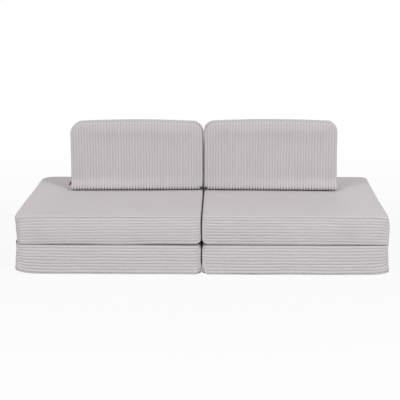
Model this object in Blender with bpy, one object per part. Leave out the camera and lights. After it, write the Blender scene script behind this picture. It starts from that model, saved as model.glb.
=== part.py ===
"""Modular floor sofa: two foam mats folded double, side by side, with two loose back cushions on them.

Metres, +Z up. The origin is on the floor under the middle of the sofa, and -Y is its front.
"""

import math

import bmesh
import bpy
from mathutils import Vector

# Clearances
GAP = 0.0003  # between pieces that touch
MODULE_GAP = 0.0006  # between the two folded mats, and between the two cushions
OVERRUN = 0.004  # how far every cutter passes through what it cuts

# Cloth
WALE_PITCH = 0.013  # wide-wale corduroy
WALE_DEPTH = 0.0025
CORD_BASE = 0.0015
VELOUR_THICKNESS = 0.002

# One mat
MAT_WIDTH = 0.8
MAT_DEPTH = 0.8
MAT_WALES = 9
MAT_BULGE = 0.007  # how far the boxing swells past its seams
MAT_CORNER = 0.016  # plan radius at the seams
MAT_DRAW = 0.002  # how far the front and inner seams pull in between their corners
OUTER_CROWN = 0.007  # of the panel that faces out when the mat is folded
INNER_CROWN = 0.0033  # of the panel that faces the other half
CROWN_RUN = 0.045  # from the seam to where a panel is flat
SEAM_TUCK = 0.001  # how far a panel's edge lies inside the seam line
CORNER_LIFT = 0.016  # how far the lower mat's bottom corners are drawn up off the floor
CORNER_HOLLOW = 0.003  # between the foam and the cover in those corners

# One back cushion
SEAT_DEPTH = 0.5  # from the front of the mats to the front of the cushions
CUSHION_WIDTH = 0.613
CUSHION_HEIGHT = 0.318
CUSHION_BAND = 0.09
CUSHION_BULGE = 0.004
CUSHION_CROWN = 0.005
CUSHION_TOP_CORNER = 0.052
CUSHION_FOOT_CORNER = 0.009
REAR_EDGE = 0.002  # rounding of the rear panel's edge

# Fabric hinge along the outer side of each folded mat
STRIP_THICKNESS = 0.0012
STRIP_END = 0.03  # from the mat's corners to the strip's ends

# Zips
MAT_ZIP_LENGTH = 0.62
CUSHION_ZIP_LENGTH = 0.45
CUSHION_ZIP_RISE = 0.03
ZIP_SLOT = 0.0104  # height of the opening that the zip closes
ZIP_SLIT = 0.0012  # between the two rows of teeth, where the slider's post runs
TAPE_THICKNESS = 0.0007
TAPE_DEPTH = 0.002  # how far the tape lies below the cloth's face
TEETH_WIDTH = 0.0017
TEETH_HEIGHT = 0.0011
TEETH_CHAMFER_SHARE = 0.33
SLIDER_LENGTH = 0.009
SLIDER_WIDTH = 0.0088
SLIDER_PLATE = 0.001
SLIDER_FLANGE = 0.0013
SLIDER_POST = 0.0006
SLIDER_FOOT_WIDTH = 0.007
SLIDER_FOOT = 0.0007
SLIDER_STOP = 0.002  # left at each end of the zip
BRIDGE_LENGTH = 0.0066
BRIDGE_WIDTH = 0.0016
BRIDGE_BAR = 0.001
BRIDGE_OPENING = 0.002
PULL_LENGTH = 0.022
PULL_WIDTH = 0.006
PULL_BAR = 0.001
PULL_EYE = 0.0038
PULL_ARM = 0.001
PULL_TAPER = 0.0012

# Blank side tag
TAG_LENGTH = 0.018
TAG_HEIGHT = 0.019
TAG_THICKNESS = 0.0008
TAG_DROOP = 0.006
TAG_RISE = 0.022
TAG_TURN = math.radians(55)

# How finely round shapes are drawn
MAT_ARC_STEPS = 3
CUSHION_ARC_STEPS = 6
SIDE_SHARES = (0.1, 0.5, 0.9)
LIFT_SHARES = (0.3, 0.0, 0.3)
CROWN_SHARES = (0.0, 0.35, 1.0)
CORE_SHARES = (0.0, 0.5, 1.0)
BAND_SHARES = (0.0, 0.2, 0.5, 0.8, 1.0)
ROW_SHARES = (0.0, 0.12, 0.5, 0.88, 1.0)
LEAST_RADIUS_SHARE = 0.4
CROWN_POWER_ACROSS = 6
CROWN_POWER_UP = 4

# Sizes that follow from the ones above
CORD_THICKNESS = CORD_BASE + WALE_DEPTH
BOXING_HEIGHT = MAT_WALES * WALE_PITCH
MAT_THICKNESS = BOXING_HEIGHT + OUTER_CROWN + INNER_CROWN
UPPER_BASE = MAT_THICKNESS + GAP
SEAT_HEIGHT = UPPER_BASE + MAT_THICKNESS
FOLD_HEIGHT = MAT_THICKNESS + GAP / 2
FOLD_REACH = MAT_WIDTH + MODULE_GAP
MAT_CENTRE = (MAT_WIDTH + MODULE_GAP) / 2
CUSHION_CENTRE = (CUSHION_WIDTH + MODULE_GAP) / 2
FRONT = -MAT_DEPTH / 2
BACK = MAT_DEPTH / 2
PANEL_STACK = GAP + CORD_THICKNESS
CUSHION_FRONT_SEAM = FRONT + SEAT_DEPTH + PANEL_STACK
CUSHION_REAR_SEAM = CUSHION_FRONT_SEAM + CUSHION_BAND

# Colour, roughness and metallic value of each finish
FINISHES = {
    "corduroy": ((0.53, 0.51, 0.51, 1.0), 0.95, 0.0),
    "velour": ((0.53, 0.51, 0.51, 1.0), 0.85, 0.0),
    "foam": ((0.80, 0.78, 0.70, 1.0), 1.0, 0.0),
    "zip_tape": ((0.42, 0.41, 0.41, 1.0), 0.9, 0.0),
    "zip_metal": ((0.45, 0.45, 0.46, 1.0), 0.35, 1.0),
    "tag": ((0.30, 0.03, 0.06, 1.0), 0.8, 0.0),
}

X_AXIS = Vector((1, 0, 0))
Y_AXIS = Vector((0, 1, 0))
Z_AXIS = Vector((0, 0, 1))


def clear_scene():
    for item in list(bpy.data.objects):
        bpy.data.objects.remove(item, do_unlink=True)


def finish(name):
    """The Principled material of one finish, made once."""
    if name in bpy.data.materials:
        return bpy.data.materials[name]
    colour, roughness, metallic = FINISHES[name]
    material = bpy.data.materials.new(name)
    material.use_nodes = True
    shader = material.node_tree.nodes["Principled BSDF"]
    shader.inputs["Base Color"].default_value = colour
    shader.inputs["Roughness"].default_value = roughness
    shader.inputs["Metallic"].default_value = metallic
    return material


def add_object(name, mesh_faces, material, origin=Vector((0, 0, 0))):
    """A mesh object whose points are given in the world, with its own origin where it turns or slides."""
    points, faces = mesh_faces
    mesh = bpy.data.meshes.new(name)
    mesh.from_pydata([Vector(p) - origin for p in points], [], faces)
    mesh.materials.append(finish(material))
    shape = bmesh.new()
    shape.from_mesh(mesh)
    bmesh.ops.recalc_face_normals(shape, faces=shape.faces)
    shape.to_mesh(mesh)
    shape.free()
    item = bpy.data.objects.new(name, mesh)
    item.location = origin
    bpy.context.scene.collection.objects.link(item)
    return item


def change_with(target, other, operation):
    """Cuts another object out of the target, or joins it on, and leaves the other as a hidden guide."""
    other.hide_render = True
    other.display_type = "WIRE"
    modifier = target.modifiers.new(other.name, "BOOLEAN")
    modifier.operation = operation
    modifier.solver = "EXACT"
    modifier.object = other


def split_quad(points, quad):
    """Two triangles along the shorter diagonal, so that parallel surfaces fold alike."""
    a, b, c, d = quad
    if (points[a] - points[c]).length <= (points[b] - points[d]).length:
        return [(a, b, c), (a, c, d)]
    return [(a, b, d), (b, c, d)]


def loft(rings, closed=False):
    """Joins rings of equally many points; an open loft gets a flat cap at each end."""
    count = len(rings[0])
    points = [p for ring in rings for p in ring]
    faces = []
    spans = len(rings) if closed else len(rings) - 1
    for k in range(spans):
        low, high = k * count, (k + 1) % len(rings) * count
        for i in range(count):
            j = (i + 1) % count
            faces += split_quad(points, (low + i, low + j, high + j, high + i))
    if not closed:
        faces.append(tuple(reversed(range(count))))
        faces.append(tuple(range(len(points) - count, len(points))))
    return points, faces


def prism(profile, origin, along, start, end):
    """A flat outline, given round an origin in the world, pushed from start to end along a direction."""
    low = [origin + p + along * start for p in profile]
    high = [origin + p + along * end for p in profile]
    return loft([low, high])


class SoftBox:
    """A boxed cushion's outline in its own axes: a across, b up the panel and c through the thickness."""

    def __init__(self, origin, axes, size, radii, bulge, bulge_shares, draws, arc_steps):
        self.origin = origin
        self.axes = axes
        self.width, self.height = size
        self.radii = radii
        self.bulge = bulge
        self.bulge_shares = bulge_shares
        self.draws = draws
        self.arc_steps = arc_steps

    def place(self, a, b, c):
        return self.origin + self.axes[0] * a + self.axes[1] * b + self.axes[2] * c

    def limits(self, inset, bulge):
        """Where the bottom, right, top and left sides lie."""
        bottom, right, top, left = (s * (self.bulge - bulge) + inset for s in self.bulge_shares)
        return bottom, self.width - right, self.height - top, left

    def ring(self, inset, bulge, c, lift=0.0):
        """One turn round the cushion, anticlockwise seen from +c, at a distance inside the seam line."""
        bottom, right, top, left = self.limits(inset, bulge)
        corners = ((left, bottom, 1, 1), (right, bottom, -1, 1), (right, top, -1, -1), (left, top, 1, -1))
        inward = ((0, 1), (-1, 0), (0, -1), (1, 0))
        arcs = []
        for k, (a, b, step_a, step_b) in enumerate(corners):
            share = (self.bulge_shares[k] + self.bulge_shares[k - 1]) / 2
            least = LEAST_RADIUS_SHARE * self.radii[k]
            radius = max(self.radii[k] + share * bulge - inset, least)
            centre = (a + step_a * radius, b + step_b * radius)
            angles = [math.pi + (k + i / self.arc_steps) * math.pi / 2 for i in range(self.arc_steps + 1)]
            arcs.append([(centre[0] + radius * math.cos(t), centre[1] + radius * math.sin(t)) for t in angles])
        points = []
        for k, arc in enumerate(arcs):
            points += [self.place(a, b, c + lift) for a, b in arc]
            start, end = Vector(arc[-1]), Vector(arcs[(k + 1) % len(arcs)][0])
            for share, lift_share in zip(SIDE_SHARES, LIFT_SHARES):
                draw = self.draws[k] * math.sin(math.pi * share)
                a, b = start.lerp(end, share) + Vector(inward[k]) * draw
                points.append(self.place(a, b, c + lift * lift_share))
        return points

    def swell(self, share):
        """The boxing's bulge at a share of its height."""
        return self.bulge * (1 - (2 * share - 1) ** 2)


def mat_box(side, base):
    """The outline of the mat on one side (-1 left, 1 right). Its hinge and zip sides are straight."""
    right_draw, left_draw = (MAT_DRAW, 0.0) if side < 0 else (0.0, MAT_DRAW)
    return SoftBox(
        Vector((side * MAT_CENTRE - MAT_WIDTH / 2, FRONT, base)),
        (X_AXIS, Y_AXIS, Z_AXIS),
        (MAT_WIDTH, MAT_DEPTH),
        (MAT_CORNER,) * 4,
        MAT_BULGE,
        (1.0,) * 4,
        (MAT_DRAW, right_draw, 0.0, left_draw),
        MAT_ARC_STEPS,
    )


def cushion_box(side):
    """The outline of the back cushion on one side, whose foot is flat where it stands on the seat."""
    return SoftBox(
        Vector((side * CUSHION_CENTRE - CUSHION_WIDTH / 2, CUSHION_REAR_SEAM, SEAT_HEIGHT + GAP)),
        (X_AXIS, Z_AXIS, -Y_AXIS),
        (CUSHION_WIDTH, CUSHION_HEIGHT),
        (CUSHION_FOOT_CORNER, CUSHION_FOOT_CORNER, CUSHION_TOP_CORNER, CUSHION_TOP_CORNER),
        CUSHION_BULGE,
        (0.0, 1.0, 1.0, 1.0),
        (0.0,) * 4,
        CUSHION_ARC_STEPS,
    )


def crown_rise(crown, share):
    """How far a velour panel has risen above its edge at a share of its crown's run."""
    return (crown - GAP - VELOUR_THICKNESS) * math.sin(math.pi / 2 * share)


def panel_rings(box, seam, side, crown, lift):
    """A crowned velour panel above its seam (side 1) or below it (side -1)."""
    faces = {"inner": [], "outer": []}
    for share in CROWN_SHARES:
        rise = GAP + crown_rise(crown, share)
        inset = SEAM_TUCK + CROWN_RUN * share
        raised = lift * (1 - share)
        faces["inner"].append(box.ring(inset, 0.0, seam + side * rise, raised))
        faces["outer"].append(box.ring(inset, 0.0, seam + side * (rise + VELOUR_THICKNESS), raised))
    first, last = ("inner", "outer") if side > 0 else ("outer", "inner")
    return faces[first][::-1] + faces[last]


def mat_foam_rings(box, low_seam, low_crown, high_crown, lift):
    """The foam block: it fills the cover, a clearance inside the panels and the boxing."""
    inset = CORD_THICKNESS + GAP
    high_seam = low_seam + BOXING_HEIGHT
    lower, upper = [], []
    for share in CROWN_SHARES[1:]:
        tuck = SEAM_TUCK + CROWN_RUN * share
        raised = lift * (1 - share)
        lower.append(box.ring(tuck, 0.0, low_seam - crown_rise(low_crown, share), raised))
        upper.append(box.ring(tuck, 0.0, high_seam + crown_rise(high_crown, share)))
    sides = [
        box.ring(inset, box.swell(u), low_seam + BOXING_HEIGHT * u, lift * (1 - u)) for u in CORE_SHARES
    ]
    return lower[::-1] + sides + upper


def mat_boxing_rings(box, low_seam, lift):
    """The corduroy band round a mat, its wales running along it."""
    outer = []
    for k in range(2 * MAT_WALES + 1):
        share = k / (2 * MAT_WALES)
        groove = WALE_DEPTH * (1 - k % 2)
        height = low_seam + BOXING_HEIGHT * share
        outer.append(box.ring(groove, box.swell(share), height, lift * (1 - share)))
    inner = [
        box.ring(CORD_THICKNESS, box.swell(u), low_seam + BOXING_HEIGHT * u, lift * (1 - u))
        for u in CORE_SHARES
    ]
    return outer + inner[::-1]


def build_mat(name, side, base, is_upper):
    """One half of a folded mat: foam, two velour panels, a corduroy boxing and its zip."""
    box = mat_box(side, base)
    low_crown, high_crown = (INNER_CROWN, OUTER_CROWN) if is_upper else (OUTER_CROWN, INNER_CROWN)
    lift = 0.0 if is_upper else CORNER_LIFT
    low_seam = low_crown
    high_seam = low_seam + BOXING_HEIGHT
    foam_lift = lift + CORNER_HOLLOW if lift else 0.0
    foam = mat_foam_rings(box, low_seam, low_crown, high_crown, foam_lift)
    add_object(f"{name}_foam", loft(foam), "foam")
    bottom = loft(panel_rings(box, low_seam, -1, low_crown, lift))
    add_object(f"{name}_bottom_panel", bottom, "velour")
    add_object(f"{name}_top_panel", loft(panel_rings(box, high_seam, 1, high_crown, 0.0)), "velour")
    boxing = add_object(f"{name}_boxing", loft(mat_boxing_rings(box, low_seam, lift), closed=True), "corduroy")
    centre = Vector((side * MAT_CENTRE, BACK, base + low_seam + BOXING_HEIGHT / 2))
    build_zip(name, centre, MAT_ZIP_LENGTH, -side, boxing)


def ribbed_panel(box, seam, wales):
    """The cushion's front panel: upright wales over a crown, with a flat back against the foam."""
    bottom, right, top, left = box.limits(0.0, 0.0)
    width, height = right - left, top - bottom
    columns = 2 * wales
    front, back = [], []
    for i in range(columns + 1):
        across = i / columns
        a = left + width * across
        low = bottom + corner_drop(a - left, right - a, box.radii[0])
        high = top - corner_drop(a - left, right - a, box.radii[2])
        crest = WALE_DEPTH * (i % 2)
        column = []
        for share in ROW_SHARES:
            b = low + (high - low) * share
            up = (b - bottom) / height
            spread = 1 - abs(2 * across - 1) ** CROWN_POWER_ACROSS
            crown = CUSHION_CROWN * spread * (1 - abs(2 * up - 1) ** CROWN_POWER_UP)
            column.append(box.place(a, b, seam + GAP + CORD_BASE + crest + crown))
        front.append(column)
        back.append((box.place(a, low, seam + GAP), box.place(a, high, seam + GAP)))
    rows = len(ROW_SHARES)
    points = [p for column in front for p in column] + [p for pair in back for p in pair]
    first_back = (columns + 1) * rows
    faces = []
    for i in range(columns):
        here, after = i * rows, (i + 1) * rows
        back_here, back_after = first_back + 2 * i, first_back + 2 * (i + 1)
        for r in range(rows - 1):
            faces.append((here + r, after + r, after + r + 1, here + r + 1))
        faces.append((back_here, back_here + 1, back_after + 1, back_after))
        faces.append((here, back_here, back_after, after))
        faces.append((here + rows - 1, after + rows - 1, back_after + 1, back_here + 1))
    for i in (0, columns):
        side = [i * rows + r for r in range(rows)]
        faces.append(tuple(side + [first_back + 2 * i + 1, first_back + 2 * i]))
    return points, faces


def corner_drop(from_left, from_right, radius):
    """How far a rounded corner takes the outline in at a distance from the nearer side."""
    reach = max(radius - min(from_left, from_right), 0.0)
    return radius - math.sqrt(max(radius**2 - reach**2, 0.0))


def build_cushion(name, side):
    """One back cushion: foam, a ribbed front, a boxing, a rear panel and its zip."""
    box = cushion_box(side)
    inset = CORD_THICKNESS + GAP
    foam = [box.ring(inset, box.swell(u), CUSHION_BAND * u) for u in CORE_SHARES]
    add_object(f"{name}_foam", loft(foam), "foam")
    outer = [box.ring(0.0, box.swell(u), CUSHION_BAND * u) for u in BAND_SHARES]
    inner = [box.ring(CORD_THICKNESS, box.swell(u), CUSHION_BAND * u) for u in CORE_SHARES]
    add_object(f"{name}_boxing", loft(outer + inner[::-1], closed=True), "corduroy")
    _, right, _, left = box.limits(0.0, 0.0)
    wales = round((right - left) / WALE_PITCH)
    add_object(f"{name}_front_panel", ribbed_panel(box, CUSHION_BAND, wales), "corduroy")
    rear = [
        box.ring(SEAM_TUCK + REAR_EDGE, 0.0, -PANEL_STACK),
        box.ring(SEAM_TUCK, 0.0, REAR_EDGE - PANEL_STACK),
        box.ring(SEAM_TUCK, 0.0, -GAP),
    ]
    panel = add_object(f"{name}_rear_panel", loft(rear), "corduroy")
    middle = box.place((left + right) / 2, CUSHION_ZIP_RISE, -PANEL_STACK)
    build_zip(name, middle, CUSHION_ZIP_LENGTH, -side, panel)


def build_zip(name, centre, length, closed_end, cloth):
    """A zip in a slot of the cloth: two tapes with teeth, a slider and its pull, all along X and facing +Y."""
    along = X_AXIS * closed_end
    slot = [
        Vector((0, y, z))
        for y, z in (
            (-CORD_THICKNESS - OVERRUN, -ZIP_SLOT / 2),
            (OVERRUN, -ZIP_SLOT / 2),
            (OVERRUN, ZIP_SLOT / 2),
            (-CORD_THICKNESS - OVERRUN, ZIP_SLOT / 2),
        )
    ]
    cutter = add_object(f"{name}_zip_slot", prism(slot, centre, along, -length / 2, length / 2), "zip_tape")
    change_with(cloth, cutter, "DIFFERENCE")
    for side, label in ((1, "top"), (-1, "bottom")):
        profile = [Vector((0, y, side * z)) for y, z in tape_profile()]
        tape = prism(profile, centre, along, GAP - length / 2, length / 2 - GAP)
        add_object(f"{name}_zip_{label}_tape", tape, "zip_tape")
    reach = length / 2 - GAP - SLIDER_STOP - SLIDER_LENGTH / 2
    build_slider(name, centre + along * reach, along)


def tape_profile():
    """One tape's section: depth below the cloth's face, and distance from the middle of the zip."""
    inner, outer = ZIP_SLIT / 2, ZIP_SLOT / 2 - GAP
    teeth = inner + TEETH_WIDTH
    face = -TAPE_DEPTH
    chamfer = TEETH_HEIGHT * TEETH_CHAMFER_SHARE
    return (
        (face - TAPE_THICKNESS, inner),
        (face - TAPE_THICKNESS, outer),
        (face, outer),
        (face, teeth),
        (face + TEETH_HEIGHT - chamfer, teeth),
        (face + TEETH_HEIGHT, teeth - chamfer),
        (face + TEETH_HEIGHT, inner + chamfer),
        (face + TEETH_HEIGHT - chamfer, inner),
    )


def build_slider(name, middle, along):
    """The slider: plates over and under the tapes on a thin post, a bridge on top, and the pull on that."""
    plate_low = -TAPE_DEPTH + TEETH_HEIGHT + GAP
    plate_top = plate_low + SLIDER_PLATE
    flange_low = -TAPE_DEPTH + GAP
    foot_top = -TAPE_DEPTH - TAPE_THICKNESS - GAP
    half, inside = SLIDER_WIDTH / 2, SLIDER_WIDTH / 2 - SLIDER_FLANGE
    post, foot = SLIDER_POST / 2, SLIDER_FOOT_WIDTH / 2
    right = [
        (foot_top - SLIDER_FOOT, foot),
        (foot_top, foot),
        (foot_top, post),
        (plate_low, post),
        (plate_low, inside),
        (flange_low, inside),
        (flange_low, half),
        (plate_top, half),
    ]
    outline = right + [(y, -z) for y, z in reversed(right)]
    profile = [Vector((0, y, z)) for y, z in outline]
    body = prism(profile, middle, along, -SLIDER_LENGTH / 2, SLIDER_LENGTH / 2)
    slider = add_object(f"{name}_zip_slider", body, "zip_metal", middle)
    far, near = BRIDGE_LENGTH / 2, BRIDGE_LENGTH / 2 - BRIDGE_BAR
    root = plate_top - SLIDER_PLATE / 2
    ceiling = plate_top + BRIDGE_OPENING
    arch = [
        (-far, root),
        (-near, root),
        (-near, ceiling),
        (near, ceiling),
        (near, root),
        (far, root),
        (far, ceiling + BRIDGE_BAR),
        (-far, ceiling + BRIDGE_BAR),
    ]
    arch_profile = [Vector((x, y, 0)) for x, y in arch]
    bridge = prism(arch_profile, middle, Z_AXIS, -BRIDGE_WIDTH / 2, BRIDGE_WIDTH / 2)
    change_with(slider, add_object(f"{name}_zip_bridge", bridge, "zip_metal", middle), "UNION")
    hinge = middle + Y_AXIS * (plate_top + BRIDGE_OPENING / 2)
    build_pull(name, hinge, along)


def build_pull(name, hinge, along):
    """The pull tab: an eye whose bar lies under the slider's bridge, and a tapered tab."""
    bar = PULL_BAR / 2
    half, eye = PULL_WIDTH / 2, PULL_WIDTH / 2 - PULL_ARM
    tip = half - PULL_TAPER
    outer = [(-bar, -half), (PULL_LENGTH, -tip), (PULL_LENGTH, tip), (-bar, half)]
    hole = [(bar, -eye), (bar + PULL_EYE, -eye), (bar + PULL_EYE, eye), (bar, eye)]
    rings = []
    for y, outline in ((-bar, hole), (-bar, outer), (bar, outer), (bar, hole)):
        rings.append([hinge + along * x + Y_AXIS * y + Z_AXIS * z for x, z in outline])
    add_object(f"{name}_zip_pull", loft(rings, closed=True), "zip_metal", hinge)


def build_hinge_strip(name, side):
    """The cloth hinge sewn over the seam between the halves of one folded mat, on its outer side."""
    first_crest = WALE_PITCH / 2
    crest_swell = MAT_BULGE * (1 - (1 - 1 / MAT_WALES) ** 2)
    inner = FOLD_REACH - MODULE_GAP / 2 - MAT_BULGE + crest_swell + GAP
    reach = INNER_CROWN + GAP / 2 + first_crest
    profile = [
        Vector((side * x, 0, FOLD_HEIGHT + z))
        for x, z in (
            (inner, -reach),
            (inner + STRIP_THICKNESS, -reach),
            (inner + STRIP_THICKNESS, reach),
            (inner, reach),
        )
    ]
    strip = prism(profile, Vector((0, 0, 0)), Y_AXIS, FRONT + STRIP_END, BACK - STRIP_END)
    add_object(f"{name}_hinge_strip", strip, "corduroy", Vector((side * FOLD_REACH, 0, FOLD_HEIGHT)))


def build_tag():
    """The blank tag sewn into the left cushion's front seam, turned back and drooping a little."""
    seam = -CUSHION_CENTRE - CUSHION_WIDTH / 2 + CUSHION_BULGE
    root = Vector((seam - GAP, CUSHION_FRONT_SEAM, SEAT_HEIGHT + GAP + TAG_RISE))
    out = -X_AXIS * math.cos(TAG_TURN) + Y_AXIS * math.sin(TAG_TURN)
    across = X_AXIS * math.sin(TAG_TURN) + Y_AXIS * math.cos(TAG_TURN)
    profile = [
        Vector((0, 0, 0)),
        out * TAG_LENGTH - Z_AXIS * TAG_DROOP,
        out * TAG_LENGTH + Z_AXIS * (TAG_HEIGHT - TAG_DROOP),
        Z_AXIS * TAG_HEIGHT,
    ]
    add_object("left_cushion_tag", prism(profile, root, across, -TAG_THICKNESS, 0.0), "tag")


def main():
    clear_scene()
    for name, side in (("left", -1), ("right", 1)):
        build_mat(f"lower_{name}", side, 0.0, False)
        build_mat(f"upper_{name}", side, UPPER_BASE, True)
        build_hinge_strip(name, side)
        build_cushion(f"{name}_cushion", side)
    build_tag()


main()
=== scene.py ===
"""Looks of the modular floor sofa: two mats folded double, side by side, and two back cushions on them.

Metres, +Z up, -Y to the front. Each cover is drawn as smooth sheets, puffed by a cloth simulation and ribbed
by Geometry Nodes, and rides on the body of the solids that it stands for.
"""

import logging
import math
from dataclasses import dataclass, field, replace
from enum import Enum
from typing import Any, Callable, ClassVar, Optional, Sequence, Union

import bmesh
import bpy
import numpy as np
from mathutils import Euler, Matrix, Vector


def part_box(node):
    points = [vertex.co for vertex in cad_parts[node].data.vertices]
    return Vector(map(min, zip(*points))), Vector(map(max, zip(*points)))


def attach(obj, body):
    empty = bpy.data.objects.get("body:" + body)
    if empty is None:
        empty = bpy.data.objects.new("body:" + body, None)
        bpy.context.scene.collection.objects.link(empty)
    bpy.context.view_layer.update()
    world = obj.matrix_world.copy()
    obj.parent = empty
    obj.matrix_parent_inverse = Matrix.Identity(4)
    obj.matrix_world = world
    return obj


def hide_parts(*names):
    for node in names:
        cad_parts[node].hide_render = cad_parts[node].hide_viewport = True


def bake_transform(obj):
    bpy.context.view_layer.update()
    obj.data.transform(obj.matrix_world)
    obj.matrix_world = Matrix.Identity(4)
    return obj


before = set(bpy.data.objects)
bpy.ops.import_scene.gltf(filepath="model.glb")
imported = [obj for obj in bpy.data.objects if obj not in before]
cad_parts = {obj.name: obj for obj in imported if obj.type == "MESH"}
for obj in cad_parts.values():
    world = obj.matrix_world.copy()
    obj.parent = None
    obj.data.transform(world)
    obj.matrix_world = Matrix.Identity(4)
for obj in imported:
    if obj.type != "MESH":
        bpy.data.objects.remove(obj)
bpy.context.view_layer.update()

PHOTO_SIZE = 400

log = logging.getLogger("sofa")

Colour = tuple[float, float, float]
Point = tuple[float, float, float]
Pair = tuple[float, float]
Object = bpy.types.Object
Grid = np.ndarray
Grids = Sequence[Grid]
GridPair = tuple[Grid, Grid]
AXES_FLAT = ((1.0, 0.0, 0.0), (0.0, 1.0, 0.0), (0.0, 0.0, 1.0))
AXES_UPRIGHT = ((1.0, 0.0, 0.0), (0.0, 0.0, 1.0), (0.0, -1.0, 0.0))
ACROSS = np.array([1.0, 0.0, 0.0])
TO_REAR = np.array([0.0, 1.0, 0.0])
UPWARDS = np.array([0.0, 0.0, 1.0])
TINY = 1e-9
ON_EDGE = 1e-6

WALE_PITCH = 0.013
WALE_DEPTH = 0.0025
CORD_THICKNESS = 0.004
VELOUR_THICKNESS = 0.002
POINTS_PER_WALE = 7
SEAM_TUCK = 0.0026
FOAM_CLEARANCE = 0.0004


class Side(Enum):
    """Which half of the sofa a piece belongs to, as the sign of its X."""

    LEFT = -1
    RIGHT = 1

    def pick(self, left: Any, right: Any) -> Any:
        """What belongs to this side, of two things."""
        return left if self is Side.LEFT else right


class Storey(Enum):
    """Which half of a folded mat a piece belongs to."""

    LOWER = "lower"
    UPPER = "upper"


class Face(Enum):
    """Which panel of a cover: the one its thickness starts from, or the one that it ends at."""

    LOW = 0
    HIGH = 1

    @property
    def outward(self) -> float:
        """The way out of the panel, as a sign along the thickness."""
        return 1.0 if self is Face.HIGH else -1.0


# Nodes


Number = Union["Flow", float]
Inputs = dict[Union[str, int], Any]


def operator(operation: str, swapped: bool = False) -> Callable[["Flow", Number], "Flow"]:
    """A method that adds a Math node for a flow and another value, in either order."""
    def method(flow: "Flow", other: Number) -> "Flow":
        """Adds the node."""
        return flow.maker.maths(operation, *((other, flow) if swapped else (flow, other)))
    return method


class Flow:
    """An output of a node, with the arithmetic that adds Math nodes to its tree."""

    __add__ = __radd__ = operator("ADD")
    __sub__ = operator("SUBTRACT")
    __rsub__ = operator("SUBTRACT", swapped=True)
    __mul__ = __rmul__ = operator("MULTIPLY")
    __truediv__ = operator("DIVIDE")
    __pow__ = operator("POWER")

    def __init__(self, maker: "NodeMaker", socket: bpy.types.NodeSocket) -> None:
        """Wraps a socket of the maker's tree."""
        self.maker = maker
        self.socket = socket

    def __abs__(self) -> "Flow":
        """The value without its sign."""
        return self.maker.maths("ABSOLUTE", self)


class NodeMaker:
    """Adds nodes to one shader or Geometry Nodes tree."""

    def __init__(self, tree: bpy.types.NodeTree) -> None:
        """Works on the given tree."""
        self.tree = tree

    def feed(self, socket: bpy.types.NodeSocket, value: Any) -> None:
        """Fills a socket.

        Args:
            socket: The socket.
            value: A flow, which is linked to it, or the socket's own value.
        """
        if isinstance(value, Flow):
            self.tree.links.new(value.socket, socket)
        else:
            socket.default_value = value

    def node(self, kind: str, settings: dict[str, Any], inputs: Inputs) -> bpy.types.Node:
        """Adds one node.

        Args:
            kind: The node's type.
            settings: Its own settings, which are set first.
            inputs: Values or flows for its sockets, by name or number.

        Returns:
            The node.
        """
        made = self.tree.nodes.new(kind)
        for name, value in settings.items():
            setattr(made, name, value)
        for key, value in inputs.items():
            self.feed(made.inputs[key], value)
        return made

    def flow(self, kind: str, settings: dict[str, Any], inputs: Inputs, output: Union[str, int] = 0) -> Flow:
        """Adds one node and returns one of its outputs."""
        return Flow(self, self.node(kind, settings, inputs).outputs[output])

    def maths(self, operation: str, *values: Number) -> Flow:
        """A Math node on one to three values."""
        return self.flow("ShaderNodeMath", {"operation": operation}, dict(enumerate(values)))

    def noise(self, vector: Flow, scale: float, detail: float = 2.0, roughness: float = 0.5) -> Flow:
        """A noise from 0 to 1, by its scale per metre."""
        return self.flow("ShaderNodeTexNoise", {"noise_dimensions": "3D"},
                         {"Vector": vector, "Scale": scale, "Detail": detail, "Roughness": roughness})

    def vector(self, x: Number, y: Number, z: Number) -> Flow:
        """A vector of three values."""
        return self.flow("ShaderNodeCombineXYZ", {}, {0: x, 1: y, 2: z})

    def scaled(self, vector: Flow, size: Number) -> Flow:
        """A vector times a number."""
        return self.flow("ShaderNodeVectorMath", {"operation": "SCALE"}, {0: vector, "Scale": size})

    def parts(self, vector: Flow) -> list[Flow]:
        """A vector's three values."""
        return [Flow(self, part) for part in self.node("ShaderNodeSeparateXYZ", {}, {0: vector}).outputs]

    def spread(self, value: Flow, span: Pair, ends: Pair = (0.0, 1.0)) -> Flow:
        """A value whose span is stretched to two ends, and clipped there."""
        return self.flow("ShaderNodeMapRange", {}, dict(enumerate((value, *span, *ends))))

    def blend(self, weights: Sequence[float], flows: Sequence[Flow]) -> Flow:
        """A weighted sum."""
        first, *rest = (weight * flow for weight, flow in zip(weights, flows))
        return sum(rest, first)

    def carried(self, name: str) -> Flow:
        """What a mesh carries at each point under a name."""
        return self.flow("ShaderNodeAttribute", {"attribute_name": name}, {}, "Fac")

    def mix(self, share: Flow, low: Union[Flow, Colour], high: Union[Flow, Colour]) -> Flow:
        """A colour between two others."""
        ends = [c if isinstance(c, Flow) else (*c, 1.0) for c in (low, high)]
        return self.flow("ShaderNodeMix", {"data_type": "RGBA"}, {0: share, 6: ends[0], 7: ends[1]}, 2)


def linear(red: int, green: int, blue: int) -> Colour:
    """A display colour, 0 to 255, as the linear values that shaders take, by the usual display curve."""
    shares = [c / 255 for c in (red, green, blue)]
    return tuple(s / 12.92 if s <= 0.04045 else ((s + 0.055) / 1.055) ** 2.4 for s in shares)


def shaded(colour: Colour, share: float) -> Colour:
    """A colour made lighter or darker."""
    return tuple(min(c * share, 1.0) for c in colour)


# Finishes


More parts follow.
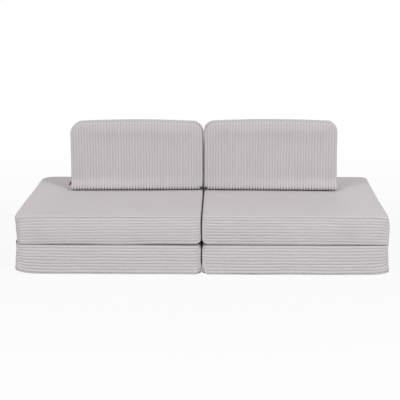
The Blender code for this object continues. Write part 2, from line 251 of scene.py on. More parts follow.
@dataclass(frozen=True)
class Finish:
    """What every finish has: a name, a colour, and values that are the same all over.

    Shades are how dark and how light the colour gets, span is the part of a noise that they take up, and
    relief is the bump's depth in metres.
    """

    name: str
    colour: Colour
    roughness: float = 0.9
    sheen: float = 0.0
    metallic: float = 0.0
    specular: float = 0.12
    sheen_roughness: float = 0.45
    sheen_lift: float = 1.5
    shades: Pair = (1.0, 1.0)
    relief: float = 0.001
    strength: float = 0.5
    unevenness: float = 0.0
    span: Pair = (0.3, 0.7)

    def build(self) -> bpy.types.Material:
        """Makes the material once.

        Returns:
            The material.
        """
        found = bpy.data.materials.get(self.name)
        if found:
            return found
        material = bpy.data.materials.new(self.name)
        material.use_nodes = True
        maker = NodeMaker(material.node_tree)
        shader = material.node_tree.nodes["Principled BSDF"]
        values = {
            "Metallic": self.metallic,
            "Specular IOR Level": self.specular,
            "Sheen Weight": self.sheen,
            "Sheen Roughness": self.sheen_roughness,
            "Sheen Tint": (*shaded(self.colour, self.sheen_lift), 1.0),
            **self.surface(maker, self.place(maker)),
        }
        for key, value in values.items():
            maker.feed(shader.inputs[key], value)
        return material

    def surface(self, maker: NodeMaker, place: Flow) -> dict[str, Any]:
        """What the finish is made of.

        Args:
            maker: The material's node maker.
            place: Object coordinates.

        Returns:
            What each of the shader's sockets gets.
        """
        return {"Base Color": (*self.colour, 1.0), "Roughness": self.roughness}

    @staticmethod
    def place(maker: NodeMaker) -> Flow:
        """Object coordinates, in metres."""
        return maker.flow("ShaderNodeTexCoord", {}, {}, "Object")

    def tinted(self, maker: NodeMaker, share: Flow) -> Flow:
        """The colour, from its darkest to its lightest shade."""
        return maker.mix(share, *(shaded(self.colour, shade) for shade in self.shades))

    def bump(self, maker: NodeMaker, height: Flow) -> Flow:
        """A normal from a height of 0 to 1 that stands for the relief."""
        return maker.flow("ShaderNodeBump", {},
                          {"Strength": self.strength, "Distance": self.relief, "Height": height})

    def finished(self, maker: NodeMaker, share: Flow, height: Flow, roughness: Number) -> dict[str, Any]:
        """The sockets of a finish whose colour follows a share and whose bump follows a height."""
        return {"Base Color": self.tinted(maker, share), "Roughness": roughness,
                "Normal": self.bump(maker, height)}

    def uneven(self, tone: Flow) -> Flow:
        """The roughness, a little uneven about its middle by a noise."""
        return self.roughness + self.unevenness * (tone - 0.5)


@dataclass(frozen=True)
class Velour(Finish):
    """Smooth short-pile velour: a faint nap in soft patches, and fine fibres."""

    shades: Pair = (0.965, 1.035)
    relief: float = 0.0009
    unevenness: float = 0.06
    patch_scale: float = 4.5
    stroke_scale: Point = (18.0, 70.0, 70.0)
    fibre_scale: float = 620.0
    hollow_scale: float = 26.0
    tone_weights: Point = (0.55, 0.25, 0.2)
    height_weights: Pair = (0.3, 0.7)

    def surface(self, maker: NodeMaker, place: Flow) -> dict[str, Any]:
        """Nap patches in the colour, fibres and soft hollows in the bump."""
        patches = maker.noise(place, self.patch_scale, 3.0, 0.55)
        stretched = maker.flow("ShaderNodeMapping", {}, {"Vector": place, "Scale": self.stroke_scale})
        fibres = maker.noise(place, self.fibre_scale, 2.0, 0.7)
        tone = maker.blend(self.tone_weights, (patches, maker.noise(stretched, 1.0), fibres))
        height = maker.blend(self.height_weights, (fibres, maker.noise(place, self.hollow_scale)))
        return self.finished(maker, maker.spread(tone, self.span), height, self.uneven(patches))


@dataclass(frozen=True)
class Corduroy(Finish):
    """Wide-wale corduroy: painted shade darkens the grooves between the wales, and each wale is brushed a
    little its own way.
    """

    shades: Pair = (0.95, 1.05)
    relief: float = 0.0006
    strength: float = 0.6
    unevenness: float = 0.05
    groove: float = 0.78
    own_scale: Pair = (7.3, 3.0)
    patch_scale: float = 5.5
    pile_scale: float = 480.0
    tone_weights: Point = (0.45, 0.4, 0.15)

    def surface(self, maker: NodeMaker, place: Flow) -> dict[str, Any]:
        """Colour by the wale's own tone, darkened towards the grooves as painted shade by the height on the
        wale, with pile in the bump.
        """
        ridge, wale, along = (maker.carried(name) for name in ("ridge", "wale", "along"))
        own = maker.noise(maker.vector(wale * self.own_scale[0], along * self.own_scale[1], 0.0), 1.0, 1.0)
        patches = maker.noise(place, self.patch_scale, 3.0, 0.55)
        pile = maker.noise(place, self.pile_scale, 2.0, 0.7)
        tone = maker.spread(maker.blend(self.tone_weights, (own, patches, pile)), self.span)
        # painted shade: the colour is darkened in the grooves by the height on the wale, where shade falls
        # between the wales
        colour = maker.mix(ridge, shaded(self.colour, self.groove), self.tinted(maker, tone))
        return {"Base Color": colour, "Roughness": self.uneven(own), "Normal": self.bump(maker, pile)}


@dataclass(frozen=True)
class Foam(Finish):
    """Open-cell foam under the covers."""

    shades: Pair = (0.86, 1.0)
    relief: float = 0.0012
    strength: float = 0.7
    cell_scale: float = 420.0
    pore_scale: float = 90.0

    def surface(self, maker: NodeMaker, place: Flow) -> dict[str, Any]:
        """Cells of two sizes in the bump, with a little colour between them."""
        cells = maker.flow("ShaderNodeTexVoronoi", {}, {"Vector": place, "Scale": self.cell_scale},
                           "Distance")
        return self.finished(maker, cells, cells + maker.noise(place, self.pore_scale), self.roughness)


@dataclass(frozen=True)
class Tape(Finish):
    """Woven tape: fine twill that follows the tape's own length."""

    shades: Pair = (0.84, 1.08)
    relief: float = 0.0002
    strength: float = 0.7
    rib: float = 0.0011
    wear_scale: float = 60.0
    tone_weights: Pair = (0.6, 0.4)

    def surface(self, maker: NodeMaker, place: Flow) -> dict[str, Any]:
        """Twill lines from the piece's own map."""
        across, along, _ = maker.parts(maker.flow("ShaderNodeUVMap", {"uv_map": "cloth"}, {}))
        twill = maker.maths("SINE", (across + along) * (2 * math.pi / self.rib)) * 0.5 + 0.5
        tone = maker.blend(self.tone_weights, (twill, maker.noise(place, self.wear_scale)))
        return self.finished(maker, tone, twill, self.roughness)


@dataclass(frozen=True)
class Metal(Finish):
    """Cast and tumbled zip metal."""

    shades: Pair = (0.88, 1.08)
    relief: float = 0.00008
    unevenness: float = 0.16
    mark_scale: float = 900.0
    cloud_scale: float = 160.0

    def surface(self, maker: NodeMaker, place: Flow) -> dict[str, Any]:
        """Fine tumbling marks in the roughness and the bump."""
        marks = maker.noise(place, self.mark_scale, 3.0, 0.6)
        return self.finished(maker, maker.noise(place, self.cloud_scale), marks,
                             self.roughness + self.unevenness * marks)


@dataclass(frozen=True)
class Thread(Finish):
    """Twisted sewing thread and moulded zip teeth."""

    shades: Pair = (0.9, 1.07)
    relief: float = 0.00015
    twist: float = 1400.0

    def surface(self, maker: NodeMaker, place: Flow) -> dict[str, Any]:
        """A fine grain in the colour and the bump."""
        grain = maker.noise(place, self.twist, 1.0)
        return self.finished(maker, grain, grain, self.roughness)


VELOUR = Velour("short pile velour", linear(198, 193, 195), 0.86, 0.1)
CORDUROY = Corduroy("wide wale corduroy", linear(200, 195, 197), 0.9, 0.1)
FOAM = Foam("open cell foam", linear(236, 230, 208), 0.95)
ZIP_TAPE = Tape("woven zip tape", linear(176, 172, 173), 0.85, 0.1)
ZIP_TEETH = Thread("zip teeth", linear(168, 164, 165), 0.45, specular=0.4)
ZIP_METAL = Metal("tumbled zip metal", (0.56, 0.56, 0.57), 0.26, metallic=1.0, specular=0.5)
SEWING = Thread("sewing thread", linear(186, 181, 183), 0.7)
TAG_CLOTH = Tape("red tag cloth", linear(150, 22, 48), 0.8, 0.1, rib=0.0009)


# Meshes


def quads(rows: int, columns: int, start: int, wrap: bool) -> Grid:
    """The faces of a grid of points.

    Args:
        rows: How many rows of points there are.
        columns: How many points a row has.
        start: The number of the first point.
        wrap: Whether the columns close round.

    Returns:
        The corner numbers of each face.
    """
    numbers = start + np.arange(rows * columns).reshape(rows, columns)
    if wrap:
        numbers = np.concatenate([numbers, numbers[:, :1]], axis=1)
    low, high = numbers[:-1], numbers[1:]
    return np.stack([low[:, :-1], low[:, 1:], high[:, 1:], high[:, :-1]], axis=-1).reshape(-1, 4)


def edge_of(grid: Grid) -> Grid:
    """What lies round a grid's edge, from its first point along its first row."""
    return np.concatenate([grid[0, :-1], grid[:-1, -1], grid[-1, :0:-1], grid[:0:-1, 0]])


def rim(rows: int, columns: int, start: int) -> Grid:
    """The point numbers round the edge of an open grid."""
    return edge_of(start + np.arange(rows * columns).reshape(rows, columns))


def square_loop(across: Grid, up: Grid) -> GridPair:
    """The places round a square's edge, from the lines that cross it."""
    fa, fb = np.broadcast_arrays(across[None], up[:, None])
    return edge_of(fa), edge_of(fb)


def widened(values: Grid) -> Grid:
    """A grid with its edge values once more round it."""
    return np.pad(values, 1, mode="edge")


def band_between(first: Grid, second: Grid) -> Grid:
    """Faces between two closed loops of point numbers."""
    return np.stack([first, np.roll(first, -1), np.roll(second, -1), second], axis=-1)


@dataclass
class Cloth:
    """A sheet of cloth as a grid of points, with what its weave follows at each point."""

    points: Grid
    across: Grid
    along: Grid
    hold: Grid
    lean: Grid
    wrap: bool = False

    @classmethod
    def smooth(cls, points: Grid, across: Grid, along: Grid) -> "Cloth":
        """A sheet without wales."""
        zero = np.zeros(points.shape[:2])
        return cls(points, across + zero, along + zero, zero, np.zeros_like(points))

    def shell(self, name: str, inner: Grid) -> Object:
        """Closes the sheet with an inner skin and makes it an object.

        Args:
            name: The piece's name.
            inner: The inner skin's points. A closed band may have fewer rows there, a panel has the same.

        Returns:
            The object, with the attributes that the wales follow.
        """
        rows, columns = self.points.shape[:2]
        inner_rows = inner.shape[0]
        start = rows * columns
        faces = [quads(rows, columns, 0, self.wrap), quads(inner_rows, columns, start, self.wrap)[:, ::-1]]
        if self.wrap:
            ring = np.arange(columns)
            faces.append(band_between(ring, start + ring)[:, ::-1])
            faces.append(band_between((rows - 1) * columns + ring, start + (inner_rows - 1) * columns + ring))
        else:
            faces.append(band_between(rim(rows, columns, 0), rim(rows, columns, start))[:, ::-1])
        points = np.concatenate([self.points.reshape(-1, 3), inner.reshape(-1, 3)])
        rest = inner_rows * columns
        row = np.linspace(0, rows - 1, inner_rows).round().astype(int)
        values = {key: np.concatenate([value.ravel(), value[row].ravel()])
                  for key, value in (("across", self.across), ("along", self.along))}
        values["hold"] = np.concatenate([self.hold.ravel(), np.zeros(rest)])
        values["lean"] = np.concatenate([self.lean.reshape(-1, 3), np.zeros((rest, 3))])
        return make_object(name, points, np.concatenate(faces), values)


def linked(name: str, data: Any) -> Object:
    """An object for a mesh, a lamp or a camera, in the scene."""
    made = bpy.data.objects.new(name, data)
    bpy.context.scene.collection.objects.link(made)
    return made


def bead_lines(name: str, lines: Sequence[tuple[Point, Point]], up: Grid) -> Object:
    """Straight lines for beads to follow.

    Args:
        name: The object's name.
        lines: The two ends of each line.
        up: The way that the tops of the beads face.

    Returns:
        The object, without beads yet.
    """
    points = [end for line in lines for end in line]
    mesh = bpy.data.meshes.new(name)
    mesh.from_pydata(points, [(k, k + 1) for k in range(0, len(points), 2)], [])
    ways = np.tile(up.astype(np.float32), len(points))
    mesh.attributes.new("up", "FLOAT_VECTOR", "POINT").data.foreach_set("vector", ways)
    return linked(name, mesh)


def make_object(name: str, points: Grid, faces: Grid, values: Optional[dict[str, Grid]] = None) -> Object:
    """A closed mesh object at the origin, its faces outwards.

    Args:
        name: Its name.
        points: The points.
        faces: The corner numbers of each face.
        values: What to keep at each point, by name. "across" and "along" also make the map.

    Returns:
        The object.
    """
    mesh = bpy.data.meshes.new(name)
    mesh.from_pydata(points.tolist(), [], faces.tolist())
    for key, value in (values or {}).items():
        kind, slot = ("FLOAT", "value") if value.ndim == 1 else ("FLOAT_VECTOR", "vector")
        mesh.attributes.new(key, kind, "POINT").data.foreach_set(slot, value.astype(np.float32).ravel())
    turned = bmesh.new()
    turned.from_mesh(mesh)
    bmesh.ops.recalc_face_normals(turned, faces=turned.faces)
    turned.to_mesh(mesh)
    turned.free()
    if values and "across" in values:
        corner = np.empty(len(mesh.loops), np.int32)
        mesh.loops.foreach_get("vertex_index", corner)
        own = np.stack([values["across"][corner], values["along"][corner]], axis=-1)
        mesh.uv_layers.new(name="cloth").data.foreach_set("uv", own.astype(np.float32).ravel())
    mesh.polygons.foreach_set("use_smooth", np.ones(len(mesh.polygons), bool))
    return linked(name, mesh)


def weld(grids: Sequence[tuple[Grid, bool]]) -> tuple[Grid, Grid, list[Grid]]:
    """Joins grids that share their edges into one closed mesh.

    Args:
        grids: Each grid's points, and whether its columns close round.

    Returns:
        The points, the faces, and each grid's point numbers.
    """
    loose = np.concatenate([points.reshape(-1, 3) for points, _ in grids])
    _, first, numbers = np.unique(loose.round(6), axis=0, return_index=True, return_inverse=True)
    numbers = numbers.ravel()
    faces, indices, start = [], [], 0
    for points, wrap in grids:
        rows, columns = points.shape[:2]
        faces.append(numbers[quads(rows, columns, start, wrap)])
        indices.append(numbers[start:start + rows * columns].reshape(rows, columns))
        start += rows * columns
    return loose[first], np.concatenate(faces), indices


def cubic_weights(place: Grid) -> GridPair:
    """How much the four points about each place weigh on a smooth curve.

    Args:
        place: Places between the points, as numbers with a fraction.

    Returns:
        Their whole parts, and the four weights.
    """
    whole = np.floor(place).astype(int)
    t = place - whole
    weights = np.stack([-t + 2 * t**2 - t**3, 2 - 5 * t**2 + 3 * t**3, t + 4 * t**2 - 3 * t**3, t**3 - t**2])
    return whole, weights / 2


def sample(values: Grid, rows: Grid, columns: Grid, wrap: bool) -> Grid:
    """Smooth values between the points of a grid.

    Args:
        values: The grid's values.
        rows: The wanted places, as row numbers with a fraction.
        columns: The same for the columns.
        wrap: Whether the columns close round.

    Returns:
        The values at the places.
    """
    row, row_weights = cubic_weights(rows)
    column, column_weights = cubic_weights(columns)
    height, width = values.shape[:2]
    total = np.zeros(rows.shape + values.shape[2:])
    for i in range(4):
        r = np.clip(row + i - 1, 0, height - 1)
        for j in range(4):
            c = (column + j - 1) % width if wrap else np.clip(column + j - 1, 0, width - 1)
            total += (row_weights[i] * column_weights[j])[..., None] * values[r, c]
    return total


def graded(length: float, fine: float, coarse: float, reach: float) -> Grid:
    """Shares from 0 to 1 along a length, close together near both ends.

    Args:
        length: The length.
        fine: The spacing near the ends.
        coarse: The spacing between them.
        reach: How far from an end the fine spacing goes.

    Returns:
        The shares.
    """
    near = np.arange(0.0, reach, fine)
    count = max(int(round((length - 2 * reach) / coarse)), 1)
    middle = np.linspace(reach, length - reach, count + 1)
    return np.concatenate([near, middle, length - near[::-1]]) / length


# Geometry Nodes


@dataclass
class Tree:
    """A Geometry Nodes tree with named inputs."""

    name: str
    group: bpy.types.NodeTree = field(init=False)
    maker: NodeMaker = field(init=False)
    given: bpy.types.Node = field(init=False)

    INPUTS: ClassVar[Sequence[tuple[str, str, Any]]] = ()

    def __post_init__(self) -> None:
        """Makes the tree's sockets, and its nodes between them."""
        self.group = bpy.data.node_groups.new(self.name, "GeometryNodeTree")
        face = self.group.interface
        face.new_socket("Geometry", in_out="INPUT", socket_type="NodeSocketGeometry")
        for label, kind, default in self.INPUTS:
            socket = face.new_socket(label, in_out="INPUT", socket_type="NodeSocket" + kind)
            if default is not None:
                socket.default_value = default
        face.new_socket("Geometry", in_out="OUTPUT", socket_type="NodeSocketGeometry")
        self.maker = NodeMaker(self.group)
        self.given = self.maker.node("NodeGroupInput", {}, {})
        self.close(self.grow())

    def input(self, label: str) -> Flow:
        """One of the tree's named inputs."""
        return Flow(self.maker, self.given.outputs[label])

    def attribute(self, name: str, kind: str = "FLOAT") -> Flow:
        """An attribute that the mesh carries."""
        return self.maker.flow("GeometryNodeInputNamedAttribute", {"data_type": kind}, {"Name": name},
                               "Attribute")

    def grow(self) -> Flow:
        """The nodes that make the shape."""
        return self.input("Geometry")

    def close(self, shape: Flow) -> None:
        """Ends the tree in Realize Instances and Set Material."""
        real = self.maker.flow("GeometryNodeRealizeInstances", {}, {"Geometry": shape})
        dressed = self.maker.flow("GeometryNodeSetMaterial", {},
                                  {"Geometry": real, "Material": self.input("Finish")})
        self.maker.node("NodeGroupOutput", {}, {0: dressed})

    def apply(self, piece: Object, **values: Any) -> Object:
        """Runs the tree on a piece and leaves the result as its plain mesh.

        Args:
            piece: The object to change.
            values: The inputs by name, in small letters and with _ for a space.

        Returns:
            The piece.
        """
        modifier = piece.modifiers.new(self.name, "NODES")
        modifier.node_group = self.group
        wanted = {key.replace("_", " ").title(): value for key, value in values.items()}
        for socket in self.group.interface.items_tree:
            if socket.in_out == "INPUT" and socket.name in wanted:
                modifier[socket.identifier] = wanted[socket.name]
        graph = bpy.context.evaluated_depsgraph_get()
        grown = bpy.data.meshes.new_from_object(piece.evaluated_get(graph), preserve_all_data_layers=True,
                                                depsgraph=graph)
        piece.modifiers.remove(modifier)
        plain, piece.data = piece.data, grown
        bpy.data.meshes.remove(plain)
        grown.name = piece.name
        return piece


@dataclass(frozen=True)
class Weave:
    """How the wales of one piece wander and vary: how far, how unevenly, and the two noises' scales."""

    wander: float
    unevenness: float
    along_scale: float
    across_scale: float


class Wales(Tree):
    """Raises rounded wales along a sheet, which wander and vary a little."""

    ROUNDNESS = 2.3
    FULLNESS = 0.62
    SWELL_SCALE = 2.3
    SEAM_FADE = 4
    ROUNDING = 0.00001

    INPUTS = (
        ("Pitch", "Float", WALE_PITCH),
        ("Depth", "Float", WALE_DEPTH),
        ("Wander", "Float", 0.001),
        ("Unevenness", "Float", 0.2),
        ("Along Scale", "Float", 9.0),
        ("Across Scale", "Float", 45.0),
        ("Seed", "Float", 0.0),
        ("Finish", "Material", None),
    )

    def grow(self) -> Flow:
        """Moves each point out by the wale's section, and sideways by a noise.

        Returns:
            The ribbed sheet.
        """
        maker = self.maker
        across, along, hold = (self.attribute(name) for name in ("across", "along", "hold"))
        lean = self.attribute("lean", "FLOAT_VECTOR")
        count = across / self.input("Pitch") + self.ROUNDING
        ridge = (1 - abs(2 * maker.maths("FRACT", count) - 1) ** self.ROUNDNESS) ** self.FULLNESS
        spot = maker.vector(along * self.input("Along Scale"), across * self.input("Across Scale"),
                            self.input("Seed"))
        drift = maker.noise(spot, 1.0, 1.5) - 0.5
        swell = maker.noise(maker.scaled(spot, self.SWELL_SCALE), 1.0)
        height = ridge * self.input("Depth") * hold * (1 + (swell - 0.5) * 2 * self.input("Unevenness"))
        out = maker.scaled(maker.flow("GeometryNodeInputNormal", {}, {}), height)
        aside = maker.scaled(lean, drift * 2 * self.input("Wander"))
        offset = maker.flow("ShaderNodeVectorMath", {"operation": "ADD"}, {0: out, 1: aside})
        moved = maker.flow("GeometryNodeSetPosition", {},
                           {"Geometry": self.input("Geometry"), "Offset": offset})
        held = maker.maths("MINIMUM", hold * self.SEAM_FADE, 1.0)
        # the ridge share is kept as the mask for the corduroy's painted shade in the grooves, and faded out
        # near the seams
        stored = self.store(moved, "ridge", 1 - (1 - ridge) * held)
        return self.store(stored, "wale", maker.maths("FLOOR", count))

    def rib(self, piece: Object, pitch: float, weave: Weave, seed: int) -> None:
        """Raises the wales of one piece at a pitch, with a seed that sets its noise apart."""
        self.apply(piece, pitch=pitch, depth=WALE_DEPTH, seed=float(seed), finish=CORDUROY.build(),
                   **vars(weave))

    def store(self, shape: Flow, name: str, value: Flow) -> Flow:
        """Keeps a value on the points for the finish to read."""
        return self.maker.flow("GeometryNodeStoreNamedAttribute", {"data_type": "FLOAT", "domain": "POINT"},
                               {"Geometry": shape, "Name": name, "Value": value})


@dataclass(frozen=True)
class Bead:
    """One kind of bead: the distance between two of them, and its three measures."""

    spacing: float
    size_along: float
    size_across: float
    size_up: float


class BeadRow(Tree):
    """Sets small rounded beads along lines: stitches, or the teeth of a zip."""

    INPUTS = (
        ("Spacing", "Float", 0.004),
        ("Size Along", "Float", 0.003),
        ("Size Across", "Float", 0.0006),
        ("Size Up", "Float", 0.0004),
        ("Finish", "Material", None),
    )

    def grow(self) -> Flow:
        """Spaces points along each line and puts a bead on every one.

        Returns:
            The beads.
        """
        maker = self.maker
        line = maker.flow("GeometryNodeMeshToCurve", {}, {"Mesh": self.input("Geometry")})
        spaced = maker.flow("GeometryNodeResampleCurve", {"mode": "LENGTH"},
                            {"Curve": line, "Length": self.input("Spacing")})
        bead = maker.flow("GeometryNodeMeshUVSphere", {}, {"Segments": 8, "Rings": 5, "Radius": 0.5})
        tangent = maker.flow("GeometryNodeInputTangent", {}, {})
        turn = maker.flow("FunctionNodeAlignRotationToVector", {"axis": "X"}, {"Vector": tangent})
        turn = maker.flow("FunctionNodeAlignRotationToVector", {"axis": "Z", "pivot_axis": "X"},
                          {"Rotation": turn, "Vector": self.attribute("up", "FLOAT_VECTOR")})
        size = maker.vector(self.input("Size Along"), self.input("Size Across"), self.input("Size Up"))
        return maker.flow("GeometryNodeInstanceOnPoints", {},
                          {"Points": spaced, "Instance": bead, "Rotation": turn, "Scale": size})

    def sew(self, lines: Object, bead: Bead, finish: Finish) -> None:
        """Sets one kind of bead along the lines."""
        self.apply(lines, finish=finish.build(), **vars(bead))


# Padded covers


@dataclass
class Wall:
    """How far one side of a cover stands in from its widest line, from its low seam to its high seam."""

    SHELF_SLOPE = 2.6

    low: float
    high: float
    low_power: float = 3.0
    high_power: float = 3.0
    slack: float = 0.0
    shelf: float = 0.0

    def inset(self, share: Grid) -> Grid:
        """The distance in from the widest line, at a share of the height."""
        near_high = share**self.high_power
        if self.shelf > 0:
            step = np.clip((share - 1 + self.shelf) * self.SHELF_SLOPE / self.shelf, 0.0, 1.0)
            near_high = step**2 * (3 - 2 * step)
        return self.slack + self.low * (1 - share) ** self.low_power + self.high * near_high


@dataclass(frozen=True)
class Lift:
    """How far a seam's corner moves along the thickness, and how soon that fades along the sides."""

    height: float = 0.0
    reach: float = 0.018
    power: float = 0.8
    stretch: float = 1.0

    def fade(self, across: Grid, up: Grid) -> Grid:
        """The movement at distances from the corner across and up the panel."""
        return self.height * np.exp(-(((across + up / self.stretch) / self.reach) ** self.power))


@dataclass
class Crown:
    """How a panel rises from its seam: a small rounded edge, then a long gentle run to its flat middle."""

    ROLL_WIDTH = 1.3

    height: float
    roll: float
    run: float
    start: float = 0.0008

    def rise(self, distance: Grid, edges: Grids) -> Grid:
        """The rise above the seam.

        Args:
            distance: Distances in from the outline.
            edges: Distances to the four sides.

        Returns:
            The rise at each point.
        """
        near = np.clip(distance / (self.roll * self.ROLL_WIDTH), 0.0, 1.0)
        rounded = self.start + (self.roll - self.start) * np.sqrt(1 - (1 - near) ** 2)
        fullness = np.ones_like(distance)
        for edge in edges:
            fullness = fullness * np.sin(math.pi / 2 * np.clip(edge / self.run, 0.0, 1.0))
        return rounded + (self.height - self.roll) * fullness


@dataclass
class Puff:
    """How the cloth simulation inflates a cover."""

    pressure: float = 4.0
    slack: float = 0.03
    cap: float = 0.008
    gain: float = 1.0
    hold_from: float = 0.03
    hold_to: float = 0.09
    hold: float = 1.0
    frames: int = 20
    quality: int = 5
    stretch: float = 20.0
    shear: float = 8.0
    bending: float = 1.5

    def settle(self, cage: Object) -> Grid:
        """Runs the simulation.

        Args:
            cage: The closed mesh, with the groups "held" and "loose" of its points.

        Returns:
            Where its points come to lie.
        """
        cloth = cage.modifiers.new("cloth", "CLOTH")
        settings = cloth.settings
        settings.quality = self.quality
        settings.tension_stiffness = settings.compression_stiffness = self.stretch
        settings.shear_stiffness = self.shear
        settings.bending_stiffness = self.bending
        settings.use_pressure = True
        settings.uniform_pressure_force = self.pressure
        settings.vertex_group_mass = "held"
        settings.vertex_group_shrink = "loose"
        settings.shrink_min, settings.shrink_max = 0.0, -self.slack
        settings.effector_weights.gravity = 0.0
        cloth.collision_settings.use_collision = False
        cloth.point_cache.frame_start, cloth.point_cache.frame_end = 1, self.frames
        for number in range(1, self.frames + 1):
            bpy.context.scene.frame_set(number)
        graph = bpy.context.evaluated_depsgraph_get()
        result = np.empty(len(cage.data.vertices) * 3, np.float32)
        cage.evaluated_get(graph).data.vertices.foreach_get("co", result)
        return result.reshape(-1, 3).astype(float)


@dataclass
class Cover:
    """A boxed cover in its own axes: a across, b up the panels, c through the thickness.

    Sides and corners go anticlockwise from the bottom one, seen from the high panel.
    """

    CORNERS = ((0, 0), (1, 0), (1, 1), (0, 1))
    LEAST_RADIUS = 0.4
    TAPER_POWER = 2.5
    RIPPLES = 5
    RIPPLE_TURN = 22.0
    RIPPLE_PEAK = 2.2
    SHUT_LOSS = 0.45
    SHUT_REACH = 0.15
    GAPE_POWER = 8
    FLARE_SHARES = (1.6, 1.1)
    FLARE_REACH = 0.026
    NOD_REACH = 0.09
    FADE_POWER = 1.3
    DRAW_POWER = 4
    CALM_EDGE = 0.03
    FOAM_ROWS = 4
    SEAM_DEPTH = 0.001
    TURN_RANGE = (14.0, 34.0)
    LOOSE_GAIN = 3

    origin: Sequence[float]
    axes: Sequence[Sequence[float]]
    size: Pair
    thickness: float
    radii: Sequence[float]
    walls: Sequence[Wall]
    crowns: Sequence[Crown]
    draws: Sequence[float]
    low_limit: Sequence[float]
    high_limit: Sequence[float]
    skews: Pair = (0.0, 0.0)
    low_lifts: Sequence[Lift] = (Lift(),) * 4
    high_lifts: Sequence[Lift] = (Lift(),) * 4
    drop: float = 0.0
    flare: float = 0.0
    nod: float = 0.0
    taper: Sequence[float] = (0.0,) * 4
    closing: Pair = (0.0, 0.0)
    gape: float = 0.4
    shut_side: Side = Side.LEFT
    ripple: float = 0.0008
    seed: int = 0
    cells: tuple[int, int] = (48, 48)
    cage_rows: int = 9
    puff: Puff = field(default_factory=Puff)
    moved: dict[str, Grid] = field(default_factory=dict)

    def world(self, local: Grid) -> Grid:
        """Points from the cover's own axes to the frame's."""
        return np.array(self.origin) + local @ np.array(self.axes)

    def direction(self, local: Grid) -> Grid:
        """Directions from the cover's own axes to the frame's."""
        return local @ np.array(self.axes)

    def sides(self, share: Grid, inset: float) -> tuple[Grid, Grid, Grid, Grid]:
        """Where the bottom, right, top and left sides lie at a share of the thickness."""
        bottom, right, top, left = (wall.inset(share) + inset for wall in self.walls)
        return bottom, self.size[0] - right, self.size[1] - top, left

    def radii_at(self, share: Grid) -> list[Grid]:
        """The corners' radii at a share of the thickness: full at the high seam, tapered at the low one."""
        fade = (1 - share) ** self.TAPER_POWER
        return [radius * (1 - cut * fade) for radius, cut in zip(self.radii, self.taper)]

    def quarter(self, a: Grid, b: Grid, share: Grid, sides: Grids,
                inset: float) -> tuple[Grid, Grid, Grid, Grid, Grid]:
        """Where each point lies about its nearest corner.

        Args:
            a, b: Places across and up.
            share: Shares of the thickness.
            sides: Where the outline's sides lie.
            inset: How far inside the widest line they are.

        Returns:
            The corner's radius, its two signs, and how far the point lies past the arc's centre each way.
        """
        bottom, right, top, left = sides
        sign_a = np.where(a < (left + right) / 2, -1.0, 1.0)
        sign_b = np.where(b < (bottom + top) / 2, -1.0, 1.0)
        radii = self.radii_at(share)
        radius = np.where(sign_b < 0, np.where(sign_a < 0, radii[0], radii[1]),
                          np.where(sign_a < 0, radii[3], radii[2]))
        radius = np.maximum(radius - inset, radius * self.LEAST_RADIUS)
        past_a = radius - np.where(sign_a < 0, a - left, right - a)
        past_b = radius - np.where(sign_b < 0, b - bottom, top - b)
        return radius, sign_a, sign_b, past_a, past_b

    def bent(self, a: Grid, b: Grid, share: Grid, sides: Grids, inset: float, back: bool = False) -> GridPair:
        """Takes nested squares to nested rounded squares.

        Args:
            a, b: Places across and up.
            share: Shares of the thickness.
            sides: Where the outline's sides lie.
            inset: How far inside the widest line they are.
            back: Whether rounded squares are taken back to squares instead.

        Returns:
            The new places across and up.
        """
        _, sign_a, sign_b, past_a, past_b = self.quarter(a, b, share, sides, inset)
        reaches = (np.maximum(past_a, past_b), np.hypot(past_a, past_b))
        wanted, given = reaches[::-1] if back else reaches
        scale = np.where((past_a > 0) & (past_b > 0), wanted / np.maximum(given, TINY), 1.0)
        return a + sign_a * past_a * (scale - 1), b + sign_b * past_b * (scale - 1)

    def squared(self, a: Grid, b: Grid, share: Grid, sides: Grids) -> GridPair:
        """Shares of the square's sides for points of the rounded outline."""
        bottom, right, top, left = sides
        a, b = self.bent(a, b, share, sides, 0.0, back=True)
        return (np.clip((a - left) / (right - left), 0.0, 1.0),
                np.clip((b - bottom) / (top - bottom), 0.0, 1.0))

    def outline(self, a: Grid, b: Grid, share: Grid, sides: Grids) -> GridPair:
        """How points lie to the outline.

        Args:
            a, b: Places across and up.
            share: Shares of the thickness.
            sides: Where the outline's sides lie.

        Returns:
            The distance in from the outline, and the direction out of it.
        """
        radius, sign_a, sign_b, past_a, past_b = self.quarter(a, b, share, sides, 0.0)
        inside = (past_a > 0) & (past_b > 0)
        reach = np.maximum(np.hypot(past_a, past_b), TINY)
        distance = np.where(inside, radius - reach, radius - np.maximum(past_a, past_b))
        flat_a = np.where(past_a >= past_b, sign_a, 0.0)
        flat_b = np.where(past_a >= past_b, 0.0, sign_b)
        out_a = np.where(inside, sign_a * past_a / reach, flat_a)
        out_b = np.where(inside, sign_b * past_b / reach, flat_b)
        return distance, np.stack([out_a, out_b], axis=-1)

    def waves(self, a: Grid, b: Grid, face: int) -> Grid:
        """A slow ripple of the seams.

        Args:
            a, b: Places across and up.
            face: 0 for the low seam, 1 for the high one.

        Returns:
            The heights to add.
        """
        random = np.random.default_rng(self.seed * 7 + face)
        total = np.zeros(np.broadcast(a, b).shape)
        for _ in range(self.RIPPLES):
            turn_a, turn_b = random.uniform(-self.RIPPLE_TURN, self.RIPPLE_TURN, 2)
            total = total + np.sin(turn_a * a + turn_b * b + random.uniform(0.0, 2 * math.pi))
        return total * self.ripple / self.RIPPLE_PEAK

    def plan(self, fa: Grid, fb: Grid, share: Grid, inset: float) -> tuple[Grid, Grid, Grids]:
        """Places shares of the square in the rounded outline.

        Args:
            fa, fb: Shares of the square's sides across and up.
            share: Shares of the thickness.
            inset: How far inside the widest line the outline lies.

        Returns:
            The places across and up, and where the outline's sides lie.
        """
        sides = self.sides(share, inset)
        bottom, right, top, left = sides
        a, b = self.bent(left + fa * (right - left), bottom + fb * (top - bottom), share, sides, inset)
        return a, b, sides

